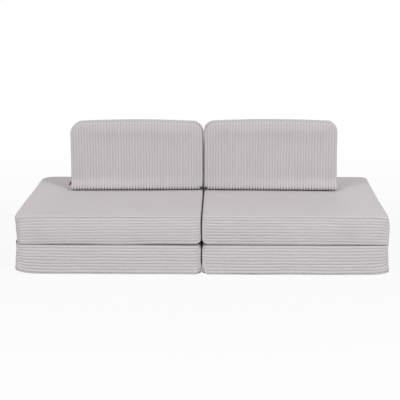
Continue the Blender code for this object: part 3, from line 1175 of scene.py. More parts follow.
    def drawn(self, a: Grid, b: Grid, fa: Grid, fb: Grid) -> GridPair:
        """Pulls the middles of the sides in between their corners."""
        bottom, right, top, left = self.draws
        power = self.DRAW_POWER
        b = b + np.sin(math.pi * fa) * (bottom * (1 - fb) ** power - top * fb**power)
        a = a + np.sin(math.pi * fb) * (left * (1 - fa) ** power - right * fa**power)
        a = a + fb * (self.skews[0] * (1 - fa) ** 2 - self.skews[1] * fa**2)
        return a, b

    def risen(self, a: Grid, b: Grid, fa: Grid, fb: Grid, share: Grid, rise: Union[Grid, float]) -> Grid:
        """Points of the form, its sides drawn in and its seams rippled, lifted and closed up.

        Args:
            a, b: Places across and up.
            fa, fb: The same places as shares of the square's sides.
            share: Shares of the thickness.
            rise: What is added to the thickness there.

        Returns:
            The points in the frame's axes.
        """
        a, b = self.drawn(a, b, fa, fb)
        open_share = self.shut_side.pick(fa, 1 - fa)
        shut = (1 - self.SHUT_LOSS * (1 - np.exp(-open_share / self.SHUT_REACH))
                - self.gape * open_share**self.GAPE_POWER)
        at_foot = np.exp(-((fb * self.size[1] / self.FLARE_REACH) ** 2))
        at_top = np.exp(-(((1 - fb) * self.size[1] / self.NOD_REACH) ** 2))
        low = self.waves(a, b, 0) + self.closing[0] * shut - self.drop
        high = self.waves(a, b, 1) + self.closing[1] * shut
        for (ca, cb), low_lift, high_lift in zip(self.CORNERS, self.low_lifts, self.high_lifts):
            across, up = np.abs(fa - ca) * self.size[0], np.abs(fb - cb) * self.size[1]
            low = low + low_lift.fade(across, up)
            high = high + high_lift.fade(across, up)
        flare = self.flare * (self.FLARE_SHARES[0] - self.FLARE_SHARES[1] * open_share) * at_foot
        high = high + flare + self.nod * at_top
        lift = low * (1 - share) ** self.FADE_POWER + high * share**self.FADE_POWER
        c = self.thickness * share + rise + lift
        return self.world(np.stack([a, b, c], axis=-1))

    def crowned(self, a: Grid, b: Grid, face: Face, share: Grid, sides: Grids) -> GridPair:
        """The distance in from the outline, and how far the panel rises there."""
        bottom, right, top, left = sides
        distance, _ = self.outline(a, b, share, sides)
        edges = (a - left, right - a, b - bottom, top - b)
        return distance, self.crowns[face.value].rise(np.maximum(distance, 0.0), edges)

    def wall(self, fa: Grid, fb: Grid, share: Grid, inset: float) -> Grid:
        """Points of the boxing.

        Args:
            fa, fb: Shares of the square's sides, for points on its edge.
            share: Shares of the thickness.
            inset: How far inside the outline they lie.

        Returns:
            The points in the frame's axes.
        """
        fa, fb, share = np.broadcast_arrays(fa, fb, share)
        a, b, _ = self.plan(fa, fb, share, inset)
        points = self.risen(a, b, fa, fb, share, 0.0)
        if "wall" in self.moved:
            calm = np.sqrt(np.clip(4 * share * (1 - share), 0.0, 1.0))
            shift = sample(self.moved["wall"], share * self.cage_rows, self.turn(fa, fb), True)
            points = points + shift * calm[..., None]
        return self.kept_in(points, inset)

    def turn(self, fa: Grid, fb: Grid) -> Grid:
        """Where points on the square's edge lie round the cage.

        Args:
            fa, fb: Shares of the square's sides across and up.

        Returns:
            The cage's column numbers, with a fraction.
        """
        across, up = self.cells
        edge = np.argmin(np.stack([fb, 1 - fa, 1 - fb, fa]), axis=0)
        options = np.stack([fa * across, across + fb * up, across + up + (1 - fa) * across,
                            2 * across + up + (1 - fb) * up])
        return np.take_along_axis(options, edge[None], axis=0)[0]

    def panel(self, a: Grid, b: Grid, face: Face, sink: float = 0.0) -> Grid:
        """Points of a panel from their places in its plan.

        Args:
            a, b: Places across and up.
            face: Which panel.
            sink: How far below the outer surface they lie.

        Returns:
            The points in the frame's axes.
        """
        share = np.full(a.shape, float(face.value))
        sides = self.sides(share, 0.0)
        fa, fb = self.squared(a, b, share, sides)
        distance, rise = self.crowned(a, b, face, share, sides)
        points = self.risen(a, b, fa, fb, share, face.outward * (rise - sink))
        key = face.name.lower()
        if key in self.moved:
            calm = np.clip(distance / self.CALM_EDGE, 0.0, 1.0)
            across, up = self.cells
            points = points + sample(self.moved[key], fb * up, fa * across, False) * calm[..., None]
        return self.kept_in(points, sink)

    def kept_in(self, points: Grid, inset: float) -> Grid:
        """Points held inside the space that the cover may fill, and a little further in."""
        return np.clip(points, np.array(self.low_limit) + inset, np.array(self.high_limit) - inset)

    def cage(self, cells: tuple[int, int], rows: int, inset: float, sink: float) -> list[tuple[Grid, bool]]:
        """The whole cover as three coarse grids that share their edges.

        Args:
            cells: How many cells the panels have across and up.
            rows: How many rows of cells the boxing has.
            inset: How far inside the cover the boxing lies.
            sink: How far inside it the panels lie.

        Returns:
            The low panel, the high panel and the boxing, each with whether its columns close round.
        """
        across, up = (np.linspace(0.0, 1.0, n + 1) for n in cells)
        fa, fb = np.broadcast_arrays(across[None], up[:, None])
        grids = []
        for face in Face:
            share = np.full(fa.shape, float(face.value))
            a, b, sides = self.plan(fa, fb, share, inset)
            distance, rise = self.crowned(a, b, face, share, sides)
            rise = np.maximum(rise - self.crowns[face.value].start - sink, 0.0)
            rise = face.outward * np.where(distance < ON_EDGE, 0.0, rise)
            grids.append((self.kept_in(self.risen(a, b, fa, fb, share, rise), sink), False))
        loop_a, loop_b = square_loop(across, up)
        shares = np.linspace(0.0, 1.0, rows + 1)
        fa, fb, share = np.broadcast_arrays(loop_a[None], loop_b[None], shares[:, None])
        a, b, _ = self.plan(fa, fb, share, inset)
        walls = self.kept_in(self.risen(a, b, fa, fb, share, 0.0), inset)
        walls[0], walls[-1] = (edge_of(grids[k][0]) for k in (0, 1))
        grids.append((walls, True))
        return grids

    def pins(self, points: Grid) -> Grid:
        """How firmly the simulation holds the cage, which is most at the middles of the panels.

        Args:
            points: The cage's points.

        Returns:
            A weight from 0 to 1 for each.
        """
        local = (points - np.array(self.origin)) @ np.linalg.inv(np.array(self.axes))
        middle = np.full(len(points), 0.5)
        distance, _ = self.outline(local[:, 0], local[:, 1], middle, self.sides(middle, 0.0))
        off_wall = (local[:, 2] <= self.SEAM_DEPTH) | (local[:, 2] >= self.thickness - self.SEAM_DEPTH)
        puff = self.puff
        pin = np.clip((distance - puff.hold_from) / (puff.hold_to - puff.hold_from), 0.0, 1.0) * puff.hold
        return np.where(off_wall | (distance > puff.hold_to), pin, 0.0)

    def looseness(self, points: Grid) -> Grid:
        """How much spare cloth there is, in soft patches.

        Args:
            points: The cage's points.

        Returns:
            A weight from 0 to 1 for each.
        """
        random = np.random.default_rng(self.seed)
        phases = random.uniform(0.0, 2 * math.pi, (3, 3))
        turns = random.uniform(*self.TURN_RANGE, (3, 3))
        slack = np.prod(np.sin(points[:, None, :] * turns + phases) * 0.5 + 0.5, axis=-1).mean(axis=-1)
        return np.clip(slack * self.LOOSE_GAIN, 0.0, 1.0)

    def inflate(self) -> None:
        """Runs the cloth simulation on the cage and keeps how far each of its points moved."""
        points, faces, numbers = weld(self.cage(self.cells, self.cage_rows, 0.0, 0.0))
        cage = make_object("cage", points, faces)
        for name, weights in (("held", self.pins(points)), ("loose", self.looseness(points))):
            group = cage.vertex_groups.new(name=name)
            for k, weight in enumerate(weights):
                group.add([k], float(weight), "REPLACE")
        shift = self.puff.settle(cage) - points
        bpy.data.objects.remove(cage)
        bpy.context.scene.frame_set(1)
        length = np.linalg.norm(shift, axis=-1, keepdims=True)
        shift *= np.minimum(1.0, self.puff.cap / np.maximum(length, TINY)) * self.puff.gain
        for name, number in zip(("low", "high", "wall"), numbers):
            self.moved[name] = shift[number]
        walls = self.moved["wall"]
        out = self.direction(np.dstack([self.outward(), np.zeros(self.outward().shape[:2])]))
        bulge = (walls * out).sum(axis=-1, keepdims=True)
        self.moved["wall"] = walls - out * bulge.mean(axis=1, keepdims=True)
        log.info("puffed a cover of %d points, at most %.1f mm", len(points), float(length.max()) * 1000)

    def outward(self) -> Grid:
        """The direction out of the boxing at each of the cage's columns."""
        across, up = self.cells
        edge = np.repeat(np.arange(4), (across, up, across, up))
        table = np.array([(0.0, -1.0), (1.0, 0.0), (0.0, 1.0), (-1.0, 0.0)])
        return np.broadcast_to(table[edge][None], (self.cage_rows + 1, len(edge), 2))

    def block(self, name: str, cells: tuple[int, int], inset: float, sink: float) -> Object:
        """The foam inside: the same form, a clearance smaller."""
        points, faces, _ = weld(self.cage(cells, self.FOAM_ROWS, inset, sink))
        return make_object(name, points, faces)


@dataclass
class Slot:
    """An opening for a zip along the frame's X: where it lies, and how far the cloth turns in there."""

    centre: Pair
    half_length: float
    half_height: float = 0.0058
    depth: float = 0.0024
    soft: Pair = (0.001, 0.0009)

    def mask(self, points: Grid) -> Grid:
        """1 in the opening and 0 outside it, with soft edges."""
        halves = (self.half_length, self.half_height)
        along, up = (np.clip((half + soft - np.abs(points[..., axis] - middle)) / (2 * soft), 0.0, 1.0)
                     for half, soft, axis, middle in zip(halves, self.soft, (0, 2), self.centre))
        return along * up


# Zips


TOOTH = Bead(0.0015, 0.0011, 0.0027, 0.0013)
ZIP_STITCH = Bead(0.0036, 0.0029, 0.0007, 0.0006)
HINGE_STITCH = Bead(0.0038, 0.003, 0.0007, 0.0006)


@dataclass
class Zip:
    """A zip in a rear cover: its two tapes, its teeth, its stitching, and the metal of slider and pull.

    The section is a tape's own: places from the middle of the zip outwards, and how far it stands out there.
    """

    owner: str
    beads: BeadRow
    section: Sequence[Pair] = (
        (0.0006, 0.0003), (0.0012, 0.0005), (0.0022, 0.0002), (0.004, 0.0), (0.006, 0.0), (0.0074, -0.0004))
    tape_depth: float = 0.0011
    tape_thickness: float = 0.0007
    tape_lines: int = 60
    tooth_rise: float = 0.0006
    tooth_offset: float = 0.00115
    stitch_offset: float = 0.0083
    end_gap: float = 0.001

    def opening(self) -> Slot:
        """The opening that the cloth leaves for the zip."""
        low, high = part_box(f"{self.owner}_zip_top_tape")
        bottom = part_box(f"{self.owner}_zip_bottom_tape")[0]
        return Slot(((low.x + high.x) / 2, (bottom.z + high.z) / 2), (high.x - low.x) / 2)

    def build(self, stitch_face: float) -> None:
        """Builds the tapes, teeth and stitches, and dresses the slider and the pull.

        Args:
            stitch_face: The y of the cloth's face beside the zip.
        """
        slot = self.opening()
        nodes = [f"{self.owner}_zip_{label}_tape" for label in ("top", "bottom")]
        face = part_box(nodes[0])[1].y - self.tape_depth
        for side, node in zip((1, -1), nodes):
            tape = self.tape(node.replace("zip", "woven"), slot, side, face)
            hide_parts(node)
            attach(tape, self.owner)
        teeth = self.row("zip_teeth", slot, face + self.tooth_rise, self.tooth_offset, TOOTH.spacing / 2)
        self.beads.sew(teeth, TOOTH, ZIP_TEETH)
        stitches = self.row("zip_stitches", slot, stitch_face, self.stitch_offset, 0.0)
        self.beads.sew(stitches, ZIP_STITCH, SEWING)
        for piece in (teeth, stitches):
            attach(piece, self.owner)
        for part in ("slider", "pull"):
            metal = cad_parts[f"{self.owner}_zip_{part}"]
            metal.data.materials.clear()
            metal.data.materials.append(ZIP_METAL.build())
        log.info("zip of %s", self.owner)

    def tape(self, name: str, slot: Slot, side: int, face: float) -> Object:
        """One woven tape, a thin sheet with a turned edge along the teeth.

        Args:
            name: Its name.
            slot: The opening.
            side: 1 for the upper tape, -1 for the lower one.
            face: The y of its outer face.

        Returns:
            The tape.
        """
        along = np.linspace(-slot.half_length, slot.half_length, self.tape_lines)[None]
        across, rise = (np.array(values)[:, None] for values in zip(*self.section))
        x, y, z = np.broadcast_arrays(slot.centre[0] + along, face + rise, slot.centre[1] + side * across)
        points = np.stack([x, y, z], axis=-1)
        piece = Cloth.smooth(points, across, along).shell(name, points - TO_REAR * self.tape_thickness)
        piece.data.materials.append(ZIP_TAPE.build())
        return piece

    def row(self, label: str, slot: Slot, y: float, offset: float, stagger: float) -> Object:
        """A line for beads on each side of the zip.

        Args:
            label: The name of the pair.
            slot: The opening.
            y: Where they lie in depth.
            offset: How far from the zip's middle.
            stagger: How far the upper line is shifted along.

        Returns:
            The two lines.
        """
        x, z = slot.centre
        reach = slot.half_length - self.end_gap
        lines = [tuple((x + sign * reach + shift, y, z + height) for sign in (-1, 1))
                 for height, shift in ((-offset, 0.0), (offset, stagger))]
        return bead_lines(f"{self.owner}_{label}", lines, TO_REAR)


# Mats and cushions


MAT_WEAVE = Weave(0.003, 0.3, 9.0, 38.0)
PANEL_WEAVE = Weave(0.0016, 0.2, 6.0, 26.0)
BAND_WEAVE = Weave(0.0004, 0.2, 8.0, 20.0)
SKIN_SHARES = np.array([[0.0], [0.5], [1.0]])


@dataclass
class Padded:
    """What a mat half and a cushion share: a padded cover in place of their solids, with foam and a zip."""

    FILL: ClassVar[float]
    PANELS: ClassVar[dict[Face, str]]
    FOAM_CELLS: ClassVar[tuple[int, int]]
    FOAM_SINK: ClassVar[float]
    STITCH_DEPTH: ClassVar[float]
    ZIP_IN: ClassVar[str]

    side: Side
    wales: Wales
    beads: BeadRow
    cover: Cover = field(init=False)

    @property
    def name(self) -> str:
        """The name of the body."""
        raise NotImplementedError

    def shape(self) -> Cover:
        """The cover's form, from the boxes of the solids that it stands for."""
        raise NotImplementedError

    def panel(self, face: Face, label: str) -> None:
        """One panel of the cover."""
        raise NotImplementedError

    def boxing(self) -> None:
        """The corduroy band round the cover."""
        raise NotImplementedError

    def build(self) -> None:
        """Builds the two panels, the ribbed boxing, the foam and the zip."""
        self.cover = self.shape()
        self.cover.inflate()
        for face, label in self.PANELS.items():
            self.panel(face, label)
        self.boxing()
        block = self.cover.block(f"{self.name}_foam_block", self.FOAM_CELLS,
                                 CORD_THICKNESS + FOAM_CLEARANCE, self.FOAM_SINK)
        block.data.materials.append(FOAM.build())
        self.dress(block, "foam", "foam")
        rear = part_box(f"{self.name}_{self.ZIP_IN}")[1].y
        Zip(self.name, self.beads).build(rear - self.STITCH_DEPTH)
        log.info("cover of %s", self.name)

    def dress(self, piece: Object, node: str, slot: str) -> None:
        """Puts a finished piece in the place of its solid."""
        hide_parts(f"{self.name}_{node}")
        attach(piece, self.name)

    def limits(self, low: Point, high: Point, proud: float) -> tuple[Point, Point]:
        """The space that the cover may fill, which is a little wider on its outer side."""
        left, right = self.side.pick((proud, 0.0), (0.0, proud))
        return (low[0] - left, *low[1:]), (high[0] + right, *high[1:])


@dataclass
class Mat(Padded):
    """One half of a folded mat."""

    FILL = 0.9
    PANELS = {Face.LOW: "bottom", Face.HIGH: "top"}
    FOAM_CELLS = (20, 20)
    FOAM_SINK = VELOUR_THICKNESS + FOAM_CLEARANCE
    STITCH_DEPTH = 0.0008
    ZIP_IN = "boxing"

    storey: Storey
    corner: float = 0.019
    inner_corner: float = 0.007
    rear_corner: float = 0.036
    meeting: float = 0.0018
    meeting_roll: float = 0.0005
    outer_waist: float = 0.0068
    outer_top: float = 0.003
    front_draw: float = 0.002
    rear_skew: float = 0.0
    outer_draw: float = 0.0
    seam_inset: float = 0.0045
    foot_inset: float = -0.003
    foot_tuck: float = 0.0009
    low_lifts: Sequence[Lift] = (Lift(),) * 4
    high_lifts: Sequence[Lift] = (Lift(),) * 4
    drop: float = 0.0
    slack: float = 0.0
    slant: float = 0.0
    slant_power: float = 1.2
    proud: float = 0.004
    front_proud: float = 0.005
    rear_proud: float = 0.001
    seam_depth: float = 0.0038
    edge_spacing: float = 0.0011
    seen_spacing: Pair = (0.0075, 0.0088)
    hidden_spacing: Pair = (0.016, 0.0055)
    band_spacing: Point = (0.002, 0.0075, 0.036)
    calm_edge: int = 9

    @property
    def name(self) -> str:
        """The name of the mat's body."""
        return f"{self.storey.value}_{self.side.name.lower()}"

    def walls(self) -> Sequence[Wall]:
        """How the sides of this half stand in.

        Returns:
            The front, right, rear and left walls.
        """
        front = rear = Wall(self.outer_waist, self.seam_inset)
        outer = Wall(self.outer_waist, self.outer_top, low_power=2.2, high_power=4.5, slack=self.slack)
        inner = Wall(0.0045, 0.0035, low_power=14.0, high_power=6.0)
        if self.storey is Storey.LOWER:
            front = Wall(self.foot_inset, self.outer_waist, low_power=6.0)
            rear = Wall(self.seam_inset, self.outer_waist)
            outer = Wall(self.foot_tuck, self.outer_waist, low_power=6.0, high_power=2.2, slack=self.slack)
            inner = Wall(0.0008, 0.0045, low_power=5.0, high_power=14.0)
        return self.side.pick((front, inner, rear, outer), (front, outer, rear, inner))

    def shape(self) -> Cover:
        """The cover's form, from the boxes of the solids that it stands for.

        Returns:
            The cover.
        """
        low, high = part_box(f"{self.name}_boxing")
        base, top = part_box(f"{self.name}_bottom_panel")[0].z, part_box(f"{self.name}_top_panel")[1].z
        upper = self.storey is Storey.UPPER
        meeting = Crown(low.z - base if upper else top - high.z, self.meeting_roll, run=0.08)
        outer = Crown(top - high.z, 0.0062, run=0.05) if upper else Crown(low.z - base, 0.003, run=0.012)
        low_limit, high_limit = self.limits((low.x, low.y - self.front_proud, base),
                                            (high.x, high.y + self.rear_proud, top), self.proud)
        return Cover(
            origin=(low.x, low.y, low.z),
            axes=AXES_FLAT,
            size=(high.x - low.x, high.y - low.y),
            thickness=high.z - low.z,
            radii=self.side.pick((self.corner, self.inner_corner, self.inner_corner, self.rear_corner),
                                 (self.inner_corner, self.corner, self.rear_corner, self.inner_corner)),
            skews=self.side.pick((self.rear_skew, 0.0), (0.0, self.rear_skew)),
            walls=self.walls(),
            crowns=(meeting, outer) if upper else (outer, meeting),
            draws=(self.front_draw if upper else 0.0, self.outer_draw, 0.0, 0.0),
            low_limit=low_limit,
            high_limit=high_limit,
            low_lifts=self.low_lifts,
            high_lifts=self.high_lifts,
            drop=self.drop,
            closing=(-self.meeting, 0.0) if upper else (0.0, self.meeting),
            shut_side=self.side,
            gape=self.side.pick(1.6, 0.5),
            seed=self.side.pick(3, 5) + int(upper),
            puff=Puff(gain=0.5),
        )

    def panel(self, face: Face, label: str) -> None:
        """One velour panel, turned in at its seam.

        Args:
            face: Which panel.
            label: Its label in the names of the solids.
        """
        cover = self.cover
        seen = self.storey is Storey.UPPER and face is Face.HIGH
        spacing = self.seen_spacing if seen else self.hidden_spacing
        across, up = (graded(size, self.edge_spacing, *spacing) for size in cover.size)
        fa, fb = np.broadcast_arrays(across[None], up[:, None])
        a, b, sides = cover.plan(fa, fb, np.full(fa.shape, float(face.value)), 0.0)
        cloth, inner = turned_in(cover, a, b, face, sides)
        piece = cloth.shell(f"{self.name}_{label}_velour", inner)
        piece.data.materials.append(VELOUR.build())
        self.dress(piece, f"{label}_panel", "velour")

    def boxing(self) -> None:
        """The corduroy band, its wales running round the mat."""
        cover = self.cover
        wales = round(cover.thickness / WALE_PITCH)
        shares = np.linspace(0.0, 1.0, wales * POINTS_PER_WALE + 1)
        loop_a, loop_b = square_loop(*(graded(size, *self.band_spacing) for size in cover.size))
        fa, fb, share = np.broadcast_arrays(loop_a[None], loop_b[None], shares[:, None])
        points = cover.wall(fa, fb, share, WALE_DEPTH)
        out = np.cross(np.roll(points, -1, axis=1) - np.roll(points, 1, axis=1), UPWARDS)
        out /= np.linalg.norm(out, axis=-1, keepdims=True)
        edge = np.minimum(share, 1 - share)
        points = points - out * np.where(edge < ON_EDGE, self.seam_depth, 0.0)[..., None]
        slot = Zip(self.name, self.beads).opening()
        at_rear = points[..., 1] > cover.origin[1] + cover.size[1] * 0.9
        opened = slot.mask(points) * at_rear
        points = points - out * (opened * slot.depth)[..., None]
        steps = np.linalg.norm(np.roll(points, -1, axis=1) - points, axis=-1).mean(axis=0)
        along = np.concatenate([[0.0], np.cumsum(steps)[:-1]])
        up_way = np.gradient(points, axis=0)
        up_way /= np.linalg.norm(up_way, axis=-1, keepdims=True)
        calm = np.clip(edge * self.calm_edge, 0.0, 1.0)
        outward = self.side.pick(1 - fa, fa)
        drift = self.slant * WALE_PITCH * outward**self.slant_power
        inner = cover.wall(fa[:3], fb[:3], SKIN_SHARES, CORD_THICKNESS)
        cloth = Cloth(points, share * wales * WALE_PITCH + drift, along[None] + np.zeros_like(share),
                      1 - opened, up_way * calm[..., None], wrap=True)
        piece = cloth.shell(f"{self.name}_ribbed_boxing", inner)
        self.wales.rib(piece, WALE_PITCH, MAT_WEAVE, cover.seed)
        self.dress(piece, "boxing", "corduroy")


def turned_in(cover: Cover, a: Grid, b: Grid, face: Face, sides: Grids) -> tuple[Cloth, Grid]:
    """A panel's grid with one more line round it, where the cloth turns down into the seam.

    Args:
        cover: The cover that the panel belongs to.
        a, b: Places across and up, rows by columns.
        face: Which panel.
        sides: Where the outline's sides lie.

    Returns:
        The sheet and its inner skin.
    """
    a, b, *sides = (widened(values) for values in (a, b, *sides))
    _, out = cover.outline(a, b, float(face.value), sides)
    edge = np.ones(a.shape, bool)
    edge[1:-1, 1:-1] = False
    next_in = ~edge
    next_in[2:-2, 2:-2] = False
    inward = cover.direction(np.dstack([-out, np.zeros(a.shape)]))
    down = cover.direction(np.array([0.0, 0.0, -face.outward])) * cover.crowns[face.value].start
    tuck = inward * SEAM_TUCK
    points = cover.panel(a, b, face) + np.where(edge[..., None], tuck + down, 0.0)
    inner = cover.panel(a, b, face, sink=VELOUR_THICKNESS) + np.where(edge[..., None], tuck, 0.0)
    inner = inner + np.where(next_in[..., None], inward * VELOUR_THICKNESS, 0.0)
    return Cloth.smooth(points, a, b), inner


@dataclass
class Cushion(Padded):
    """One upright back cushion."""

    FILL = 0.85
    PANELS = {Face.HIGH: "front", Face.LOW: "rear"}
    FOAM_CELLS = (24, 14)
    FOAM_SINK = 0.0025
    STITCH_DEPTH = 0.0004
    ZIP_IN = "rear_panel"
    ZIP_MARKS = (0.0049, 0.0058, 0.0068)
    BAND_SHARES = (
        0.0, 0.02, 0.08, 0.2, 0.35, 0.45, 0.55, 0.65, 0.75, 0.85, 0.93, 0.98, 1.0)
    SQUARE_ON = 0.9

    crown: float = 0.008
    proud: float = 0.006
    front_proud: float = 0.019
    rear_proud: float = 0.003
    top_proud: float = 0.005
    corner_lines: int = 9
    least_gap: float = 0.0003
    row_spacing: Point = (0.0014, 0.009, 0.0084)
    zip_clear: float = 0.026
    zip_sink: float = 0.0016
    lean_edge: float = 0.02
    hold_edge: float = 0.003
    least_hold: float = 0.25
    gather_reach: float = 0.014
    gather: float = 2.4
    seam_depth: float = 0.0016
    foot_hold: float = 0.35
    seam_hold: float = 0.35
    pressed_to: Pair = (0.55, 0.2)
    loose_from: Pair = (0.75, 0.1)

    @property
    def name(self) -> str:
        """The name of the cushion's body."""
        return f"{self.side.name.lower()}_cushion"

    def shape(self) -> Cover:
        """The cover's form, from the boxes of the solids that it stands for.

        Returns:
            The cover.
        """
        low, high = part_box(f"{self.name}_boxing")
        front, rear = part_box(f"{self.name}_front_panel")[0].y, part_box(f"{self.name}_rear_panel")[1].y
        pick = self.side.pick
        foot = Wall(0.0006, 0.01, high_power=5.0, shelf=0.55)
        top = Wall(0.007, 0.0025, low_power=1.6, slack=pick(0.0035, 0.002))
        inner = Wall(0.0015, 0.0042, low_power=9.0, high_power=7.0, shelf=0.7)
        outer = Wall(0.005, 0.005, slack=pick(-0.0055, -0.0072))
        low_limit, high_limit = self.limits((low.x, front - self.front_proud, low.z),
                                            (high.x, rear + self.rear_proud, high.z + self.top_proud),
                                            self.proud)
        return Cover(
            origin=(low.x, high.y, low.z),
            axes=AXES_UPRIGHT,
            size=(high.x - low.x, high.z - low.z),
            thickness=high.y - low.y,
            radii=pick((0.01, 0.026, 0.05, 0.046), (0.026, 0.01, 0.036, 0.046)),
            walls=pick((foot, inner, top, outer), (foot, outer, top, inner)),
            crowns=(Crown(rear - high.y - WALE_DEPTH, 0.0016, run=0.03, start=0.0006),
                    Crown(low.y - front - WALE_DEPTH, 0.0068, run=0.15)),
            draws=(0.0, 0.0, -self.crown, 0.0),
            low_limit=low_limit,
            high_limit=high_limit,
            seed=pick(21, 22),
            cells=(44, 24),
            cage_rows=7,
            flare=0.016,
            nod=pick(0.008, 0.01),
            skews=pick((0.002, 0.0), (0.0, 0.0036)),
            shut_side=self.side,
            taper=pick((0.0, 0.75, 0.0, 0.0), (0.75, 0.0, 0.0, 0.0)),
            puff=Puff(gain=0.5, hold_from=0.02, hold_to=0.1, hold=0.7),
            ripple=0.0005,
        )

    def edges(self, face: Face) -> tuple[float, float, float, float]:
        """Where the bottom, right, top and left sides lie at a panel's seam."""
        return tuple(float(side[0, 0]) for side in self.cover.sides(np.full((1, 1), float(face.value)), 0.0))

    def front_wales(self) -> int:
        """How many wales the front panel has, which the rear panel and the boxing's top follow."""
        return round(self.cover.size[0] / WALE_PITCH)

    def panel(self, face: Face, label: str) -> None:
        """A panel of upright wales, cut to the cushion's rounded outline.

        Args:
            face: Which panel.
            label: Its label in the names of the solids.
        """
        cover = self.cover
        bottom, right, top, left = self.edges(face)
        wales = self.front_wales()
        even = np.linspace(left, right, wales * POINTS_PER_WALE + 1)
        arc = 1 - np.cos(np.linspace(0.0, math.pi / 2, self.corner_lines)[1:-1])
        left_foot, right_foot, right_top, left_top = cover.radii_at(float(face.value))
        extra = np.concatenate([left + left_top * arc, right - right_top * arc])
        extra = extra[np.abs(extra[:, None] - even[None]).min(axis=1) > self.least_gap]
        places = np.sort(np.concatenate([even, extra]))
        low = bottom + self.cut(places - left, left_foot) + self.cut(right - places, right_foot)
        high = top - self.cut(places - left, left_top) - self.cut(right - places, right_top)
        rows = graded(cover.size[1], *self.row_spacing)
        slot = Zip(self.name, self.beads).opening()
        if face is Face.LOW:
            zip_at = slot.centre[1] - cover.origin[2]
            marks = zip_at + np.array([0.0, *self.ZIP_MARKS, *(-mark for mark in self.ZIP_MARKS)])
            clear = np.abs(rows - zip_at / cover.size[1]) > self.zip_clear
            rows = np.sort(np.concatenate([rows[clear], marks / cover.size[1]]))
        a = np.broadcast_to(places[None], (len(rows), len(places)))
        b = low[None] + rows[:, None] * (high - low)[None]
        sides = [np.full(a.shape, value) for value in (bottom, right, top, left)]
        cloth, inner = turned_in(cover, a, b, face, sides)
        distance, _ = cover.outline(widened(a), widened(b), float(face.value), [widened(v) for v in sides])
        cloth.across = cloth.across - left
        cloth.lean = cover.direction(ACROSS) * np.clip(distance / self.lean_edge, 0.0, 1.0)[..., None]
        firm = 1 - self.least_hold
        cloth.hold = np.clip(distance / self.hold_edge, 0.0, 1.0) * firm + self.least_hold
        move = np.zeros(a.shape)
        if face is Face.HIGH:
            gathered = np.exp(-((widened(b - bottom) / self.gather_reach) ** 2))
            cloth.hold = np.maximum(cloth.hold, gathered) * (1 + self.gather * gathered)
            move = gathered * self.gather * WALE_DEPTH
        else:
            opened = slot.mask(cloth.points)
            cloth.hold = cloth.hold * (1 - opened)
            move = -opened * self.zip_sink
        cloth.hold[0] = cloth.hold[-1] = 0.0
        cloth.hold[:, 0] = cloth.hold[:, -1] = 0.0
        cloth.points = cloth.points + TO_REAR * move[..., None]
        piece = cloth.shell(f"{self.name}_{label}_ribbed", inner + TO_REAR * move[..., None])
        self.wales.rib(piece, (right - left) / wales, PANEL_WEAVE, cover.seed)
        self.dress(piece, f"{label}_panel", "corduroy")

    @staticmethod
    def cut(from_side: Grid, radius: float) -> Grid:
        """How far a rounded corner takes the outline in, by the distance from its side."""
        reach = np.clip(radius - from_side, 0.0, radius)
        return radius - np.sqrt(np.maximum(radius**2 - reach**2, 0.0))

    def boxing(self) -> None:
        """The band round the cushion, its wales running across it."""
        cover = self.cover
        bottom, right, top, left = sides = self.edges(Face.LOW)
        radii = cover.radii
        arcs = [radius * math.pi / 2 for radius in radii]
        spans = [right - left, top - bottom] * 2
        runs = [span - radii[k] - radii[(k + 1) % 4] for k, span in enumerate(spans)]
        pitch = (right - left) / self.front_wales()
        step = pitch / POINTS_PER_WALE
        phase = (radii[2] - (runs[0] + arcs[1] + runs[1] + arcs[2])) % pitch
        places = np.arange(int((sum(arcs) + sum(runs)) / step)) * step + (-phase) % step
        a, b = self.walk(places, sides, runs, arcs)
        shares = np.array(self.BAND_SHARES)[:, None]
        flat_sides = [np.full(a.shape, value) for value in sides]
        _, out = cover.outline(a, b, 1.0, flat_sides)
        fa, fb = self.snapped(*cover.squared(a, b, 1.0, flat_sides))
        points = cover.wall(fa[None], fb[None], shares, WALE_DEPTH)
        zero = np.zeros((1, len(a)))
        away = cover.direction(np.dstack([out[None], zero]))
        edge = np.minimum(shares, 1 - shares)
        on_seam = edge < ON_EDGE
        on_foot = (out[:, 1] < -self.SQUARE_ON)[None]
        meeting = (out[:, 0] * self.side.pick(1, -1) > self.SQUARE_ON)[None]
        pressed = meeting * np.clip((self.pressed_to[0] - shares) / self.pressed_to[1], 0.0, 1.0)
        loose = meeting * np.clip((shares - self.loose_from[0]) / self.loose_from[1], 0.0, 1.0)
        at_seam = np.clip(edge * 20 + self.seam_hold, 0.0, 1.0)
        hold = np.where(on_foot, self.foot_hold, 1.0) * at_seam * (1 - pressed) + loose
        points = points - away * np.where(on_seam, self.seam_depth, 0.0)[..., None]
        points = points + away * (pressed * np.where(on_seam, 0.0, WALE_DEPTH))[..., None]
        lean = cover.direction(np.dstack([-out[None, :, 1], out[None, :, 0], zero]))
        inner = cover.wall(fa[None], fb[None], SKIN_SHARES, CORD_THICKNESS)
        zero = np.zeros(hold.shape)
        cloth = Cloth(points, (places + phase)[None] + zero, shares * cover.thickness + zero, hold,
                      np.broadcast_to(lean, points.shape), wrap=True)
        piece = cloth.shell(f"{self.name}_ribbed_boxing", inner)
        self.wales.rib(piece, pitch, BAND_WEAVE, cover.seed + 5)
        self.dress(piece, "boxing", "corduroy")

    @staticmethod
    def snapped(fa: Grid, fb: Grid) -> GridPair:
        """Moves shares of the square exactly onto its nearest side."""
        edge = np.argmin(np.stack([fb, 1 - fa, 1 - fb, fa]), axis=0)
        fb = np.where(edge == 0, 0.0, np.where(edge == 2, 1.0, fb))
        fa = np.where(edge == 1, 1.0, np.where(edge == 3, 0.0, fa))
        return fa, fb

